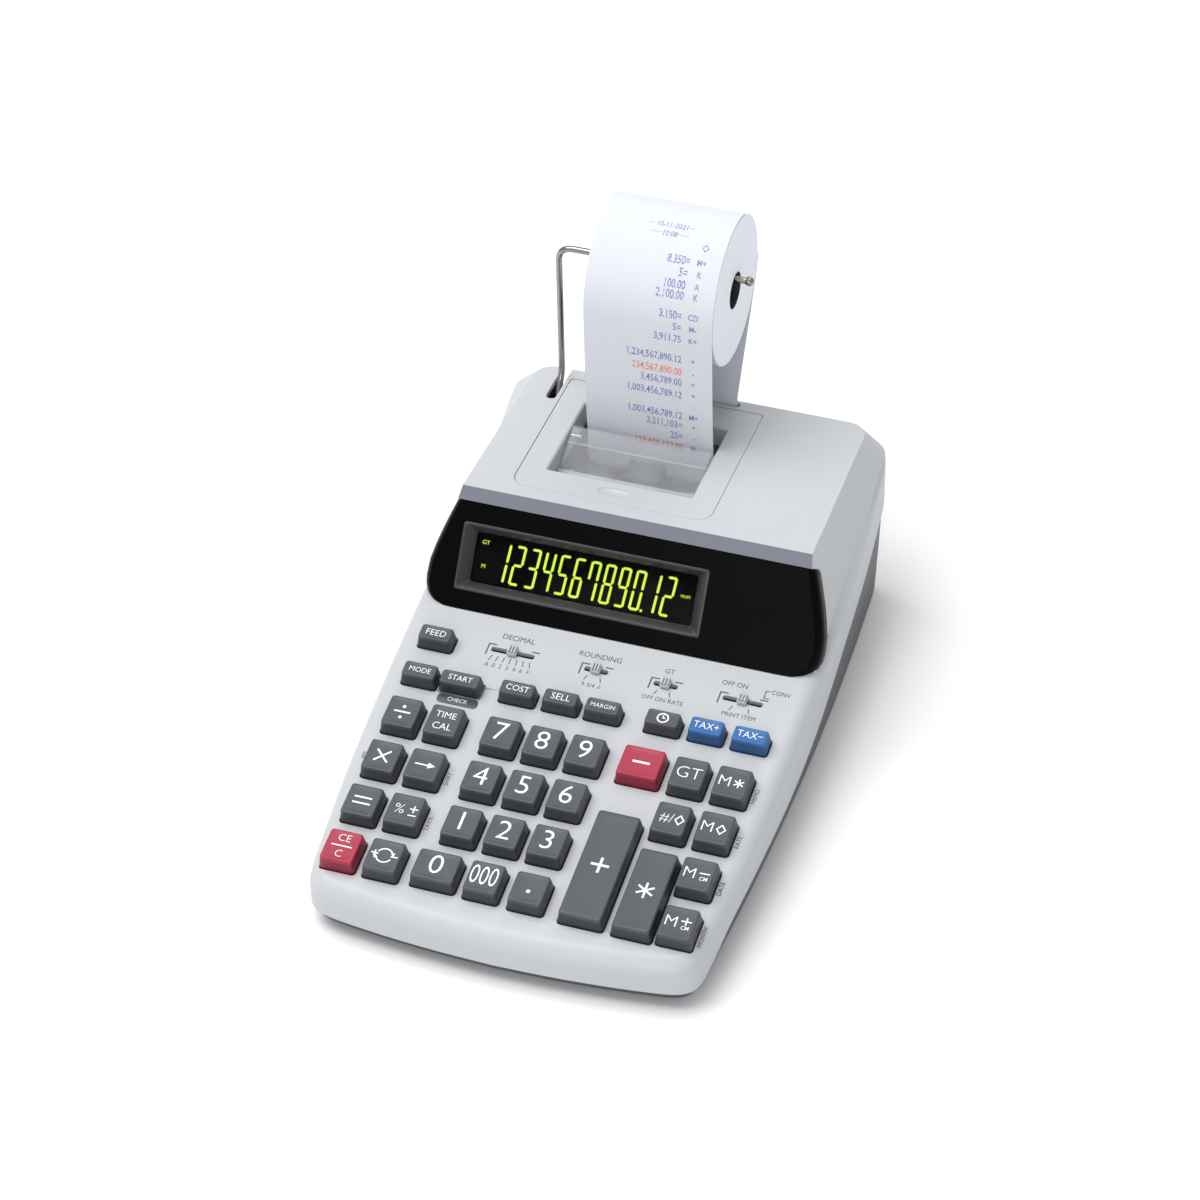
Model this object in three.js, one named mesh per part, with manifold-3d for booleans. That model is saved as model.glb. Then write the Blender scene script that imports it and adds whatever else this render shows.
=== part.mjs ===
// Desk calculator with printer: millimetres, X right, Y back, Z up.
import * as THREE from 'three';
import { mergeVertices } from 'three/addons/utils/BufferGeometryUtils.js';
import Module from 'manifold-3d';

const wasm = await Module();
wasm.setup();

// ---- overall sizes ---------------------------------------------------------
const HALF_W = 90;            // widest half width of the case, at the side rails
const SIDE_BOW = 5;           // how much the sides draw in towards the ends
const FRONT_Y = -57;          // front edge at the middle
const FRONT_BOW = 4.8;        // front corners sit this far back
const REAR_Y = 229;           // rear face at the middle
const GROUND = -14.5;         // underside of the feet
const FLOOR = -11.5;          // underside of the bottom case
const WALL = 2.4;             // moulded wall
const GAP = 0.3;              // clearance between pieces that do not touch
const EDGE_R = 7;             // soft edge round the deck and along the rails

// ---- keyboard deck ---------------------------------------------------------
const TILT = 9 * Math.PI / 180;
const KEY_PLANE_Z = 24;       // height of the key tops over y = 0
const KEY_RISE = 6.5;         // key tops above the deck
const KEY_W = 13.4;
const KEY_D = 14.8;
const KEY_PITCH_X = 18.45;
const KEY_FLARE = 0.9;        // the base is this much larger than the top
const KEY_GAP = 0.4;
const PLUNGER = 5;            // post under each key that presses the board
const TRAVEL = 2.5;
const BOARD_H = 14.0;         // top of the keyboard board below the key tops

// ---- display housing -------------------------------------------------------
const HOUSE_TOP_FRONT = [131.7, 77.0];
const HOUSE_FOOT_FRONT = [101.4, 33.5];
const HOUSE_TOP_REAR = [227.0, 72.8];
const HOUSE_HALF_TOP = 77.3;
const HOUSE_HALF_FOOT = 86.8;
const HOUSE_HALF_REAR = 75.5;
const PANEL_T = 4.0;
const PANEL_TOP_V = 46.6;     // length of the black panel up the slope
const WIN = { x0: -74.4, x1: 36.2, v0: 8.2, v1: 38.6 };
const WIN_BEVEL = [5.8, 4.3];

// ---- printer and paper -----------------------------------------------------
const PAPER_X0 = -40.5;
const PAPER_W = 57;
const ROLL_R = 33;
const ROLL_Y = 220;
const ROLL_Z = 137.5;
const CORE_R = 8.2;
const WIRE_R = 1.8;
const ARM_X = -62.8;
const ARM_PIVOT = [207, 62];
const ARM_TIP_X = 25;
const COVER = { x0: -58.6, x1: 29.6, y0: 139.2, y1: 220.3 };
const MOUTH = { x0: -47, x1: 18, y0: 153.5, y1: 205 };
const FEED = { y: 197, z: 56, r: 6 };
const CARRIAGE = { y0: 173.5, y1: 185.5, z0: 48, z1: 63, w: 16, rodY: 179.5, rodZ: 54, rodR: 2.5 };

const PAPER_X1 = PAPER_X0 + PAPER_W;
const WIRE_Z = ROLL_Z + CORE_R - WIRE_R - GAP;
const SHIFT_Y = -(FRONT_Y + ROLL_Y + ROLL_R + 0.65) / 2;
const SHIFT_Z = -GROUND;

// ---- colours ---------------------------------------------------------------
const COLOUR = {
  light: [0xdcdee0, 0.45, 0],
  dark: [0x6a6c70, 0.55, 0],
  black: [0x0b0b0d, 0.12, 0],
  clear: [0xd8e0e2, 0.08, 0],
  lcd: [0x15180c, 0.3, 0],
  key: [0x565a5f, 0.5, 0],
  red: [0xb23248, 0.45, 0],
  blue: [0x366eb4, 0.45, 0],
  knob: [0xd8dadc, 0.45, 0],
  chrome: [0xc8cacc, 0.15, 1],
  paper: [0xf2f2f0, 0.9, 0],
  frame: [0x3c3f43, 0.5, 0],
  rubber: [0x1c1c1e, 0.9, 0],
  board: [0x2f6b3c, 0.6, 0],
};

const group = new THREE.Group();
group.name = 'desk_calculator';

function table(rows, y) {
  if (y <= rows[0][0]) return rows[0][1];
  for (let i = 1; i < rows.length; i += 1) {
    const [ya, za] = rows[i - 1];
    const [yb, zb] = rows[i];
    if (y <= yb) return za + (zb - za) * (y - ya) / (yb - ya);
  }
  return rows[rows.length - 1][1];
}

const DECK_Z0 = KEY_PLANE_Z - KEY_RISE / Math.cos(TILT);
const deckZ = (y) => DECK_Z0 + y * Math.tan(TILT);
const RAIL = [[100, deckZ(100)], [123, 38], [142, 42.5], [168, 49], [186, 54], [205, 60], [222, 66.5], [232, 68.5]];
const edgeZ = (y) => (y < 100 ? deckZ(y) : table(RAIL, y));
const PARTING = [[-46, -6], [-30, -2.5], [-10, 1.5], [60, 3.5], [100, 8.5], [142, 19.5], [180, 27], [205, 34], [232, 42]];
const partingZ = (y) => table(PARTING, y);
const topZ = (y) => {
  const [ya, za] = HOUSE_TOP_FRONT;
  const [yb, zb] = HOUSE_TOP_REAR;
  return za + (zb - za) * (y - ya) / (yb - ya);
};

// ---- small geometry kit ----------------------------------------------------
function solid(positions, triangles) {
  const g = new THREE.BufferGeometry();
  g.setAttribute('position', new THREE.Float32BufferAttribute(positions, 3));
  g.setIndex(triangles);
  return g;
}

// Rings of equal length stacked upwards, each counter-clockwise from above.
// The caps are laid in strips between the right and left halves of the ring.
function stack(rings) {
  const n = rings[0].length;
  const pos = rings.flat().flat();
  const tri = [];
  for (let r = 0; r + 1 < rings.length; r += 1) {
    for (let i = 0; i < n; i += 1) {
      const j = (i + 1) % n;
      const a = r * n + i;
      const b = r * n + j;
      const c = a + n;
      const d = b + n;
      tri.push(a, b, d, a, d, c);
    }
  }
  const cap = (base, flip) => {
    const half = Math.floor((n - 1) / 2);
    for (let i = 0; i <= half; i += 1) {
      const r0 = i;
      const r1 = i + 1;
      const l0 = (n - i) % n;
      const l1 = n - i - 1;
      const faces = [];
      if (r0 !== l0 && r1 !== l0) faces.push([r0, r1, l0]);
      if (r1 !== l1 && l0 !== l1) faces.push([l0, r1, l1]);
      if (r0 === l0 && r1 !== l1) faces.splice(0, faces.length, [r0, r1, l1]);
      for (const f of faces) {
        const t = f.map((k) => base + k);
        if (flip) t.reverse();
        tri.push(...t);
      }
    }
  };
  cap(0, true);
  cap((rings.length - 1) * n, false);
  return solid(pos, tri);
}

function toManifold(geometry) {
  const g = geometry.clone();
  g.deleteAttribute('normal');
  g.deleteAttribute('uv');
  const m = mergeVertices(g, 1e-4);
  const idx = m.getIndex().array;
  const keep = [];
  for (let i = 0; i < idx.length; i += 3) {
    const [a, b, c] = [idx[i], idx[i + 1], idx[i + 2]];
    if (a !== b && b !== c && c !== a) keep.push(a, b, c);
  }
  const mesh = new wasm.Mesh({
    numProp: 3,
    vertProperties: new Float32Array(m.getAttribute('position').array),
    triVerts: new Uint32Array(keep),
  });
  return new wasm.Manifold(mesh);
}

function toGeometry(man) {
  const m = man.getMesh();
  const g = new THREE.BufferGeometry();
  g.setAttribute('position', new THREE.Float32BufferAttribute(m.vertProperties, 3));
  g.setIndex(Array.from(m.triVerts));
  return g;
}

const box = (x0, x1, y0, y1, z0, z1) => {
  const g = new THREE.BoxGeometry(x1 - x0, y1 - y0, z1 - z0);
  return g.translate((x0 + x1) / 2, (y0 + y1) / 2, (z0 + z1) / 2);
};

function rodX(x0, x1, y, z, r, sides = 20) {
  const g = new THREE.CylinderGeometry(r, r, x1 - x0, sides);
  return g.rotateZ(Math.PI / 2).translate((x0 + x1) / 2, y, z);
}

// Deck frame: x, distance up the slope, height over the key tops.
const DECK = new THREE.Matrix4().makeRotationX(TILT).setPosition(0, 0, KEY_PLANE_Z);
// Panel frame: x, distance up the display slope, height over its face.
const PANEL_ANGLE = Math.atan2(
  HOUSE_TOP_FRONT[1] - HOUSE_FOOT_FRONT[1],
  HOUSE_TOP_FRONT[0] - HOUSE_FOOT_FRONT[0],
);
const PANEL = new THREE.Matrix4().makeRotationX(PANEL_ANGLE)
  .setPosition(0, HOUSE_FOOT_FRONT[0], HOUSE_FOOT_FRONT[1]);
// Cover frame: lies on the top plate, origin at y = 0 of its plane.
const TOP_ANGLE = Math.atan2(HOUSE_TOP_REAR[1] - HOUSE_TOP_FRONT[1], HOUSE_TOP_REAR[0] - HOUSE_TOP_FRONT[0]);

function add(name, geometry, colour) {
  const [c, roughness, metalness] = COLOUR[colour];
  const m = new THREE.Mesh(geometry, new THREE.MeshStandardMaterial({ color: c, roughness, metalness }));
  m.geometry.translate(0, SHIFT_Y, SHIFT_Z);
  m.name = name;
  group.add(m);
}

// ---- case plan -------------------------------------------------------------
const sideX = (y) => HALF_W - SIDE_BOW * ((y - 95) / 130) ** 2;

function planRight() {
  const pts = [];
  for (const x of [0, 24, 46, 62, 73]) {
    pts.push([x, FRONT_Y + FRONT_BOW * (x / 67) ** 2]);
  }
  pts.push([79, FRONT_Y + 8], [82.6, FRONT_Y + 12], [84.3, FRONT_Y + 18]);
  for (const y of [-10, 20, 60, 95, 123, 142, 168, 186, 205]) {
    pts.push([sideX(y), y]);
  }
  pts.push([85.6, 218.5], [83.7, 224.8], [78.4, 228], [50, REAR_Y - 0.6], [22, REAR_Y - 0.1]);
  return pts;
}

function planRing(offset) {
  const right = planRight();
  const left = right.slice(1).reverse().map(([x, y]) => [-x, y]);
  const all = right.concat(left);
  const n = all.length;
  return all.map((p, i) => {
    const a = all[(i + n - 1) % n];
    const b = all[(i + 1) % n];
    const len = Math.hypot(b[0] - a[0], b[1] - a[1]);
    const nx = (b[1] - a[1]) / len;
    const ny = -(b[0] - a[0]) / len;
    return [p[0] - nx * offset, p[1] - ny * offset];
  });
}

function deckSolid(inset, drop) {
  const r = EDGE_R - inset;
  const rings = [planRing(inset).map(([x, y]) => [x, y, partingZ(y) - drop])];
  for (const deg of [0, 30, 60, 90]) {
    const a = deg * Math.PI / 180;
    const off = inset + r * (1 - Math.cos(a));
    rings.push(planRing(off).map(([x, y]) => [x, y, edgeZ(y) - inset - r * (1 - Math.sin(a))]));
  }
  return stack(rings);
}

function houseSolid(inset, foot) {
  const [yt, zt] = HOUSE_TOP_FRONT;
  const [yf, zf] = HOUSE_FOOT_FRONT;
  const slope = (yt - yf) / (zt - zf);
  const back = inset ? (PANEL_T + GAP + inset) / Math.sin(PANEL_ANGLE) : 0;
  const yAt = (z) => yf + (z - zf) * slope + back;
  const ring = (level, side, round) => {
    const half = (k) => side + (HOUSE_HALF_REAR - HOUSE_HALF_TOP) * k - inset - round;
    const heights = {
      top: (y) => topZ(y) - inset,
      edge: (y) => topZ(y) - inset - 1.2,
      foot: (y) => edgeZ(y) - foot,
    };
    const zTop = heights[level];
    const guess = yAt(zTop(HOUSE_FOOT_FRONT[0] + back));
    const front = level === 'foot' ? guess : yAt(zTop(HOUSE_TOP_FRONT[0] + back));
    const rear = HOUSE_TOP_REAR[0] - inset - round;
    const right = [[0, front], [half(0) * 0.55, front], [half(0), front], [half(0.5), (front + rear) / 2],
      [half(1), rear - 8], [half(1) - 6, rear - 1.6], [half(1) * 0.5, rear]];
    const left = right.slice(1).reverse().map(([x, y]) => [-x, y]);
    return right.concat(left).map(([x, y]) => [x, y, zTop(y)]);
  };
  return stack([ring('foot', HOUSE_HALF_FOOT, 0), ring('edge', HOUSE_HALF_TOP, 0), ring('top', HOUSE_HALF_TOP, 1)]);
}

// ---- keys ------------------------------------------------------------------
const COL = [-78.6, -60.1, -35.3, -16.85, 1.6, 24, 46.3, 46.3 + KEY_PITCH_X];
const ROW = { 2: 30.5, 3: 6.3, 4: -17.8, 5: -42 };
const key = (name, x, y, w = KEY_W, d = KEY_D, colour = 'key') => ({ name, x, y, w, d, colour });
const SMALL = 6.4;
const KEYS = [
  key('key_feed', COL[0] - 0.7, 78.5, KEY_W, 7),
  key('key_mode', COL[0] - 0.7, 57.6, 13.8, 7),
  key('key_start', -62.5, 57.8, 16.4, SMALL),
  key('key_cost', COL[2] - 1.1, 59, 14, SMALL),
  key('key_sell', COL[3] - 0.6, 59.2, 14, SMALL),
  key('key_margin', COL[4] - 0.6, 59.2, 14, SMALL),
  key('key_clock', 27.2, 59.4, 13.6, 7),
  key('key_tax_plus', COL[6] - 0.3, 59.8, 13.4, 7.2, 'blue'),
  key('key_tax_minus', COL[7] - 0.1, 59.8, 13.8, 7.2, 'blue'),
  key('key_divide', COL[0], ROW[2]),
  key('key_time', COL[1], ROW[2]),
  key('key_7', COL[2], ROW[2]),
  key('key_8', COL[3], ROW[2]),
  key('key_9', COL[4], ROW[2]),
  key('key_minus', COL[5], ROW[2] + 0.4, 16.8, KEY_D, 'red'),
  key('key_grand_total', COL[6], ROW[2]),
  key('key_memory_total', COL[7], ROW[2]),
  key('key_multiply', COL[0], ROW[3]),
  key('key_shift', COL[1], ROW[3]),
  key('key_4', COL[2], ROW[3]),
  key('key_5', COL[3], ROW[3]),
  key('key_6', COL[4], ROW[3]),
  key('key_non_add', COL[6], ROW[3]),
  key('key_memory_subtotal', COL[7], ROW[3]),
  key('key_equals', COL[0], ROW[4]),
  key('key_percent', COL[1], ROW[4]),
  key('key_1', COL[2], ROW[4]),
  key('key_2', COL[3], ROW[4]),
  key('key_3', COL[4], ROW[4]),
  key('key_memory_minus', COL[7], ROW[4]),
  key('key_clear', COL[0], ROW[5], KEY_W, KEY_D, 'red'),
  key('key_sign', COL[1], ROW[5]),
  key('key_0', -39.9, ROW[5] + 1, 17.4, 13.9),
  key('key_000', COL[3] - 0.4, ROW[5] + 0.5, KEY_W, 14.3),
  key('key_point', COL[4] + 0.4, ROW[5], KEY_W, 14.4),
  key('key_plus', COL[5] - 0.2, -42.8, 17.2, 53.2),
  key('key_total', COL[6], -43.2, 15, 39.6),
  key('key_memory_plus', COL[7], ROW[5] - 0.6),
];

// Rectangle with cut corners, counter-clockwise, in the deck frame.
function plate(x0, x1, y0, y1, h, cut) {
  return [
    [x0 + cut, y0, h], [x1 - cut, y0, h], [x1, y0 + cut, h], [x1, y1 - cut, h],
    [x1 - cut, y1, h], [x0 + cut, y1, h], [x0, y1 - cut, h], [x0, y0 + cut, h],
  ];
}

function plates(levels) {
  const rings = levels.map(([k, out, h, cut]) => plate(k.x - out, k.x + k.w + out, k.y - out, k.y + k.d + out, h, cut));
  const n = 8;
  const pos = rings.flat().flat();
  const tri = [];
  for (let r = 0; r + 1 < rings.length; r += 1) {
    for (let i = 0; i < n; i += 1) {
      const a = r * n + i;
      const b = r * n + ((i + 1) % n);
      tri.push(a, b, b + n, a, b + n, a + n);
    }
  }
  const top = (rings.length - 1) * n;
  for (let i = 1; i < n - 1; i += 1) {
    tri.push(0, i + 1, i);
    tri.push(top, top + i, top + i + 1);
  }
  return solid(pos, tri);
}

const UNDER_DECK = KEY_RISE + WALL;

function keyCap(k) {
  const low = -(UNDER_DECK + GAP);
  const post = {
    x: k.x + (k.w - PLUNGER) / 2, y: k.y + (k.d - PLUNGER) / 2, w: PLUNGER, d: PLUNGER,
  };
  return plates([
    [post, 0, -(BOARD_H - TRAVEL - GAP), 0.8],
    [post, 0, low, 0.8],
    [k, KEY_FLARE, low, 1.2],
    [k, KEY_FLARE, -KEY_RISE + 1.6, 1.2],
    [k, 0.25, -0.7, 1.3],
    [k, -0.5, 0, 1.4],
  ]).applyMatrix4(DECK);
}

function keyHole(k) {
  const out = KEY_FLARE + KEY_GAP;
  return plates([[k, out, -(UNDER_DECK + 3), 1.4], [k, out, 3, 1.4]]).applyMatrix4(DECK);
}

// ---- slide switches --------------------------------------------------------
const KNOB = { w: 4.2, d: 4.6, rise: 3.0, stemW: 2.6, stemD: 1.8 };
const SWITCHES = [
  { name: 'switch_decimal', x: -39.7, y: 84.8, travel: 8 },
  { name: 'switch_rounding', x: -2.6, y: 84.8, travel: 3.6 },
  { name: 'switch_grand_total', x: 28, y: 84.8, travel: 3.6 },
  { name: 'switch_print', x: 61.6, y: 84.8, travel: 7 },
];

function slotHole(s) {
  const half = s.travel + KNOB.stemW / 2 + 0.4;
  const g = box(s.x - half, s.x + half, s.y - KNOB.stemD / 2 - 0.4, s.y + KNOB.stemD / 2 + 0.4, -(UNDER_DECK + 3), 3);
  return g.applyMatrix4(DECK);
}

function switchKnob(s) {
  const top = -KEY_RISE + GAP;
  const cap = box(s.x - KNOB.w / 2, s.x + KNOB.w / 2, s.y - KNOB.d / 2, s.y + KNOB.d / 2, top, top + KNOB.rise);
  const stem = box(
    s.x - KNOB.stemW / 2, s.x + KNOB.stemW / 2,
    s.y - KNOB.stemD / 2, s.y + KNOB.stemD / 2, -(UNDER_DECK + 1.4), top + 0.5,
  );
  const shoe = box(s.x - 3, s.x + 3, s.y - 3, s.y + 3, -(UNDER_DECK + GAP + 1.4), -(UNDER_DECK + GAP));
  const all = toManifold(cap).add(toManifold(stem)).add(toManifold(shoe));
  return toGeometry(all).applyMatrix4(DECK);
}

// ---- case ------------------------------------------------------------------
function panelBox(x0, x1, v0, v1, h0, h1) {
  return box(x0, x1, v0, v1, h0, h1).applyMatrix4(PANEL);
}

const ARM_SLOT = { x0: ARM_X - WIRE_R - 0.5, x1: ARM_X + WIRE_R + 0.5 };

function topCase() {
  const pocket = panelBox(-100, 100, -30, PANEL_TOP_V + GAP, -(PANEL_T + GAP), 30);
  let s = toManifold(houseSolid(0, WALL - 0.4)).subtract(toManifold(pocket));
  s = s.add(toManifold(deckSolid(0, 0)));
  const hollow = toManifold(deckSolid(WALL, 6)).add(toManifold(houseSolid(WALL, WALL + 4)));
  s = s.subtract(hollow);
  s = s.subtract(toManifold(panelBox(WIN.x0 + 1.2, WIN.x1 - 1.2, WIN.v0 + 1, WIN.v1 - 1, -12, 4)));
  const c = COVER;
  s = s.subtract(toManifold(box(c.x0 - GAP, c.x1 + GAP, c.y0 - GAP, c.y1 + GAP, 68, 90)));
  s = s.subtract(toManifold(box(PAPER_X0 - 1.5, PAPER_X1 + 1.5, c.y1 + 2.2, c.y1 + 5.2, 66, 90)));
  s = s.subtract(toManifold(box(ARM_SLOT.x0, ARM_SLOT.x1, 203, REAR_Y + 6, 46.5, 90)));
  for (const k of KEYS) {
    s = s.subtract(toManifold(keyHole(k)));
  }
  for (const w of SWITCHES) {
    s = s.subtract(toManifold(slotHole(w)));
  }
  return toGeometry(s);
}

function traySolid(inset, floor, rise) {
  const low = planRing(2.8 + inset).map(([x, y]) => [x, y, floor]);
  const mid = planRing(1.6 + inset).map(([x, y]) => [x, y, Math.min(floor + 1.8, partingZ(y) - GAP - 1) + rise * 0.3]);
  const top = planRing(0.8 + inset).map(([x, y]) => [x, y, partingZ(y) - GAP + rise]);
  return stack([low, mid, top]);
}

const INLET = { x: 60, z: 12, w: 15, h: 9, y0: 219.5, wall: 3, boss: 226.5, pin: 1.2, pitch: 5 };

function bottomCase() {
  let s = toManifold(traySolid(0, FLOOR, 0)).subtract(toManifold(traySolid(WALL, FLOOR + WALL, 8)));
  const { x, z, w, h, y0, wall, boss, pin, pitch } = INLET;
  s = s.add(toManifold(box(x - w / 2 - wall, x + w / 2 + wall, y0 - wall, boss, z - h / 2 - wall, z + h / 2 + wall)));
  s = s.subtract(toManifold(box(x - w / 2, x + w / 2, y0, REAR_Y + 5, z - h / 2, z + h / 2)));
  for (const side of [-1, 1]) {
    const px = x + side * pitch / 2;
    s = s.add(toManifold(box(px - pin, px + pin, y0 - 0.5, boss - 0.5, z - pin, z + pin)));
  }
  const keep = box(-100, 100, FRONT_Y - 10, REAR_Y + 10, FLOOR - 1, 60);
  s = s.intersect(toManifold(keep));
  return toGeometry(s);
}

// ---- display ---------------------------------------------------------------
function displayPanel() {
  const mirrored = (right) => right.concat(right.slice(1).reverse().map(([x, v]) => [-x, v]));
  const face = [[0, 0], [74.5, 0], [80, 1.4], [83.6, 4.6], [85.2, 9], [85, 18], [81.2, 33], [77.2, PANEL_TOP_V]];
  const skirt = [[0, 0], [76, 0], [82, 1.2], [86.4, 4.6], [88, 9.5], [87.8, 19], [84.4, 32.5], [79.6, PANEL_TOP_V]];
  const ring = (h, k, off) => mirrored(face.map(([x, v], i) => [x + (skirt[i][0] - x) * k - (x ? off : 0),
    v + (skirt[i][1] - v) * k + (v < 5 ? off : 0)])).map(([x, v]) => [x, v, h]);
  let s = toManifold(stack([ring(-10, 1, 0), ring(-6, 1, 0), ring(-2.4, 0.6, 0), ring(-0.6, 0, 0), ring(0, 0, 0.6)]));
  const behind = toManifold(panelBox(-100, 100, -30, 80, -60, -PANEL_T).applyMatrix4(PANEL.clone().invert()));
  const house = toManifold(houseSolid(-GAP, WALL - 0.4).applyMatrix4(PANEL.clone().invert()));
  s = s.subtract(house.intersect(behind));
  const hole = (h, bx, bv) => plate(WIN.x0 + bx, WIN.x1 - bx, WIN.v0 + bv, WIN.v1 - bv, h, 0.8);
  const rings = [hole(-PANEL_T - 1, WIN_BEVEL[0] + 1.4, WIN_BEVEL[1] + 1), hole(1, -1.4, -1)];
  const n = 8;
  const tri = [];
  for (let i = 0; i < n; i += 1) {
    const b = (i + 1) % n;
    tri.push(i, b, b + n, i, b + n, i + n);
  }
  for (let i = 1; i < n - 1; i += 1) {
    tri.push(0, i + 1, i);
    tri.push(n, n + i, n + i + 1);
  }
  s = s.subtract(toManifold(solid(rings.flat().flat(), tri)));
  const placed = toGeometry(s).applyMatrix4(PANEL);
  return toGeometry(toManifold(placed).subtract(toManifold(deckSolid(-GAP, 0))));
}

const displayWindow = () => panelBox(WIN.x0 + 3.2, WIN.x1 - 3.2, WIN.v0 + 2.4, WIN.v1 - 2.4,
  -(PANEL_T + GAP + 1), -(PANEL_T + GAP));
const lcdModule = () => panelBox(WIN.x0 + 2.4, WIN.x1 - 2.4, WIN.v0 + 1.8, WIN.v1 - 1.8,
  -(PANEL_T + 2 * GAP + 6), -(PANEL_T + 2 * GAP + 1));

// ---- printer ---------------------------------------------------------------
function printerCover() {
  const skin = (g) => g.rotateX(TOP_ANGLE).translate(0, HOUSE_TOP_FRONT[0], HOUSE_TOP_FRONT[1]);
  const y = (v) => v - HOUSE_TOP_FRONT[0];
  const slab = skin(box(COVER.x0, COVER.x1, y(COVER.y0), y(COVER.y1), -WALL, 0));
  const mouth = skin(box(MOUTH.x0, MOUTH.x1, y(MOUTH.y0), y(MOUTH.y1), -WALL - 3, 3));
  const grip = skin(new THREE.CylinderGeometry(6.5, 5.5, 2, 16).rotateX(Math.PI / 2).scale(1, 0.4, 1)
    .translate(-14.5, y(146.5), 0.1));
  return toGeometry(toManifold(slab).subtract(toManifold(mouth)).subtract(toManifold(grip)));
}

const TEAR = { y0: 163, z0: 66.5, y1: 185.6, z1: 76.3, t: 1.2 };

function tearWindow() {
  const len = Math.hypot(TEAR.y1 - TEAR.y0, TEAR.z1 - TEAR.z0);
  const g = box(MOUTH.x0 + 1.2, MOUTH.x1 - 1.2, 0, len, -TEAR.t, 0);
  return g.rotateX(Math.atan2(TEAR.z1 - TEAR.z0, TEAR.y1 - TEAR.y0)).translate(0, TEAR.y0, TEAR.z0);
}

function printerFrame() {
  const x0 = PAPER_X0 - 8;
  const x1 = PAPER_X1 + 8;
  const base = toManifold(box(x0, x1, 158, 214, 38, 42));
  const hole = (g) => toManifold(g);
  const axle = () => hole(rodX(x0 - 5, x1 + 5, FEED.y, FEED.z, 2.3, 16));
  const cheek = (a, b) => toManifold(box(a, b, 166, 212, 41, 64));
  const rod = toManifold(rodX(x0 + 1, x1 - 1, CARRIAGE.rodY, CARRIAGE.rodZ, CARRIAGE.rodR, 16));
  const s = base.add(cheek(x0, x0 + 3)).add(cheek(x1 - 3, x1)).subtract(axle()).add(rod);
  return toGeometry(s);
}

function feedRoller() {
  const x0 = PAPER_X0 - 8;
  const x1 = PAPER_X1 + 8;
  const s = toManifold(rodX(PAPER_X0 - 2, PAPER_X1 + 2, FEED.y, FEED.z, FEED.r, 24))
    .add(toManifold(rodX(x0 - 1.5, x1 + 1.5, FEED.y, FEED.z, 2, 16)));
  return toGeometry(s);
}

function printCarriage() {
  const c = CARRIAGE;
  const mid = (PAPER_X0 + PAPER_X1) / 2;
  const s = toManifold(box(mid - c.w / 2, mid + c.w / 2, c.y0, c.y1, c.z0, c.z1))
    .subtract(toManifold(rodX(mid - c.w, mid + c.w, c.rodY, c.rodZ, c.rodR + GAP, 16)));
  return toGeometry(s);
}

// ---- paper -----------------------------------------------------------------
function paperArm() {
  const p = new THREE.CurvePath();
  const v = (x, y, z) => new THREE.Vector3(x, y, z);
  const corner = (a, b, c) => p.add(new THREE.QuadraticBezierCurve3(a, b, c));
  const line = (a, b) => p.add(new THREE.LineCurve3(a, b));
  const [py, pz] = ARM_PIVOT;
  const foot = 4;
  const bend = 7;
  line(v(ARM_X - 8, py, pz), v(ARM_X - foot, py, pz));
  corner(v(ARM_X - foot, py, pz), v(ARM_X, py, pz), v(ARM_X, py + foot * 0.7, pz + foot * 0.72));
  line(v(ARM_X, py + foot * 0.7, pz + foot * 0.72), v(ARM_X, ROLL_Y - 3.4, 72.2));
  corner(v(ARM_X, ROLL_Y - 3.4, 72.2), v(ARM_X, ROLL_Y, 75.8), v(ARM_X, ROLL_Y, 80.5));
  line(v(ARM_X, ROLL_Y, 80.5), v(ARM_X, ROLL_Y, WIRE_Z - bend));
  corner(v(ARM_X, ROLL_Y, WIRE_Z - bend), v(ARM_X, ROLL_Y, WIRE_Z), v(ARM_X + bend, ROLL_Y, WIRE_Z));
  line(v(ARM_X + bend, ROLL_Y, WIRE_Z), v(ARM_TIP_X, ROLL_Y, WIRE_Z));
  const circle = new THREE.Shape();
  for (let i = 0; i < 10; i += 1) {
    const a = i * Math.PI / 5;
    const q = [WIRE_R * Math.cos(a), WIRE_R * Math.sin(a)];
    if (i === 0) circle.moveTo(...q);
    else circle.lineTo(...q);
  }
  circle.closePath();
  return new THREE.ExtrudeGeometry(circle, { steps: 72, extrudePath: p, curveSegments: 1 });
}

function paperRoll() {
  const n = 48;
  const outer = rodX(PAPER_X0, PAPER_X1, ROLL_Y, ROLL_Z, ROLL_R, n);
  const core = rodX(PAPER_X0 - 5, PAPER_X1 + 5, ROLL_Y, ROLL_Z, CORE_R, 24);
  return toGeometry(toManifold(outer).subtract(toManifold(core)));
}

const TAPE_T = 0.35;

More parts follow.
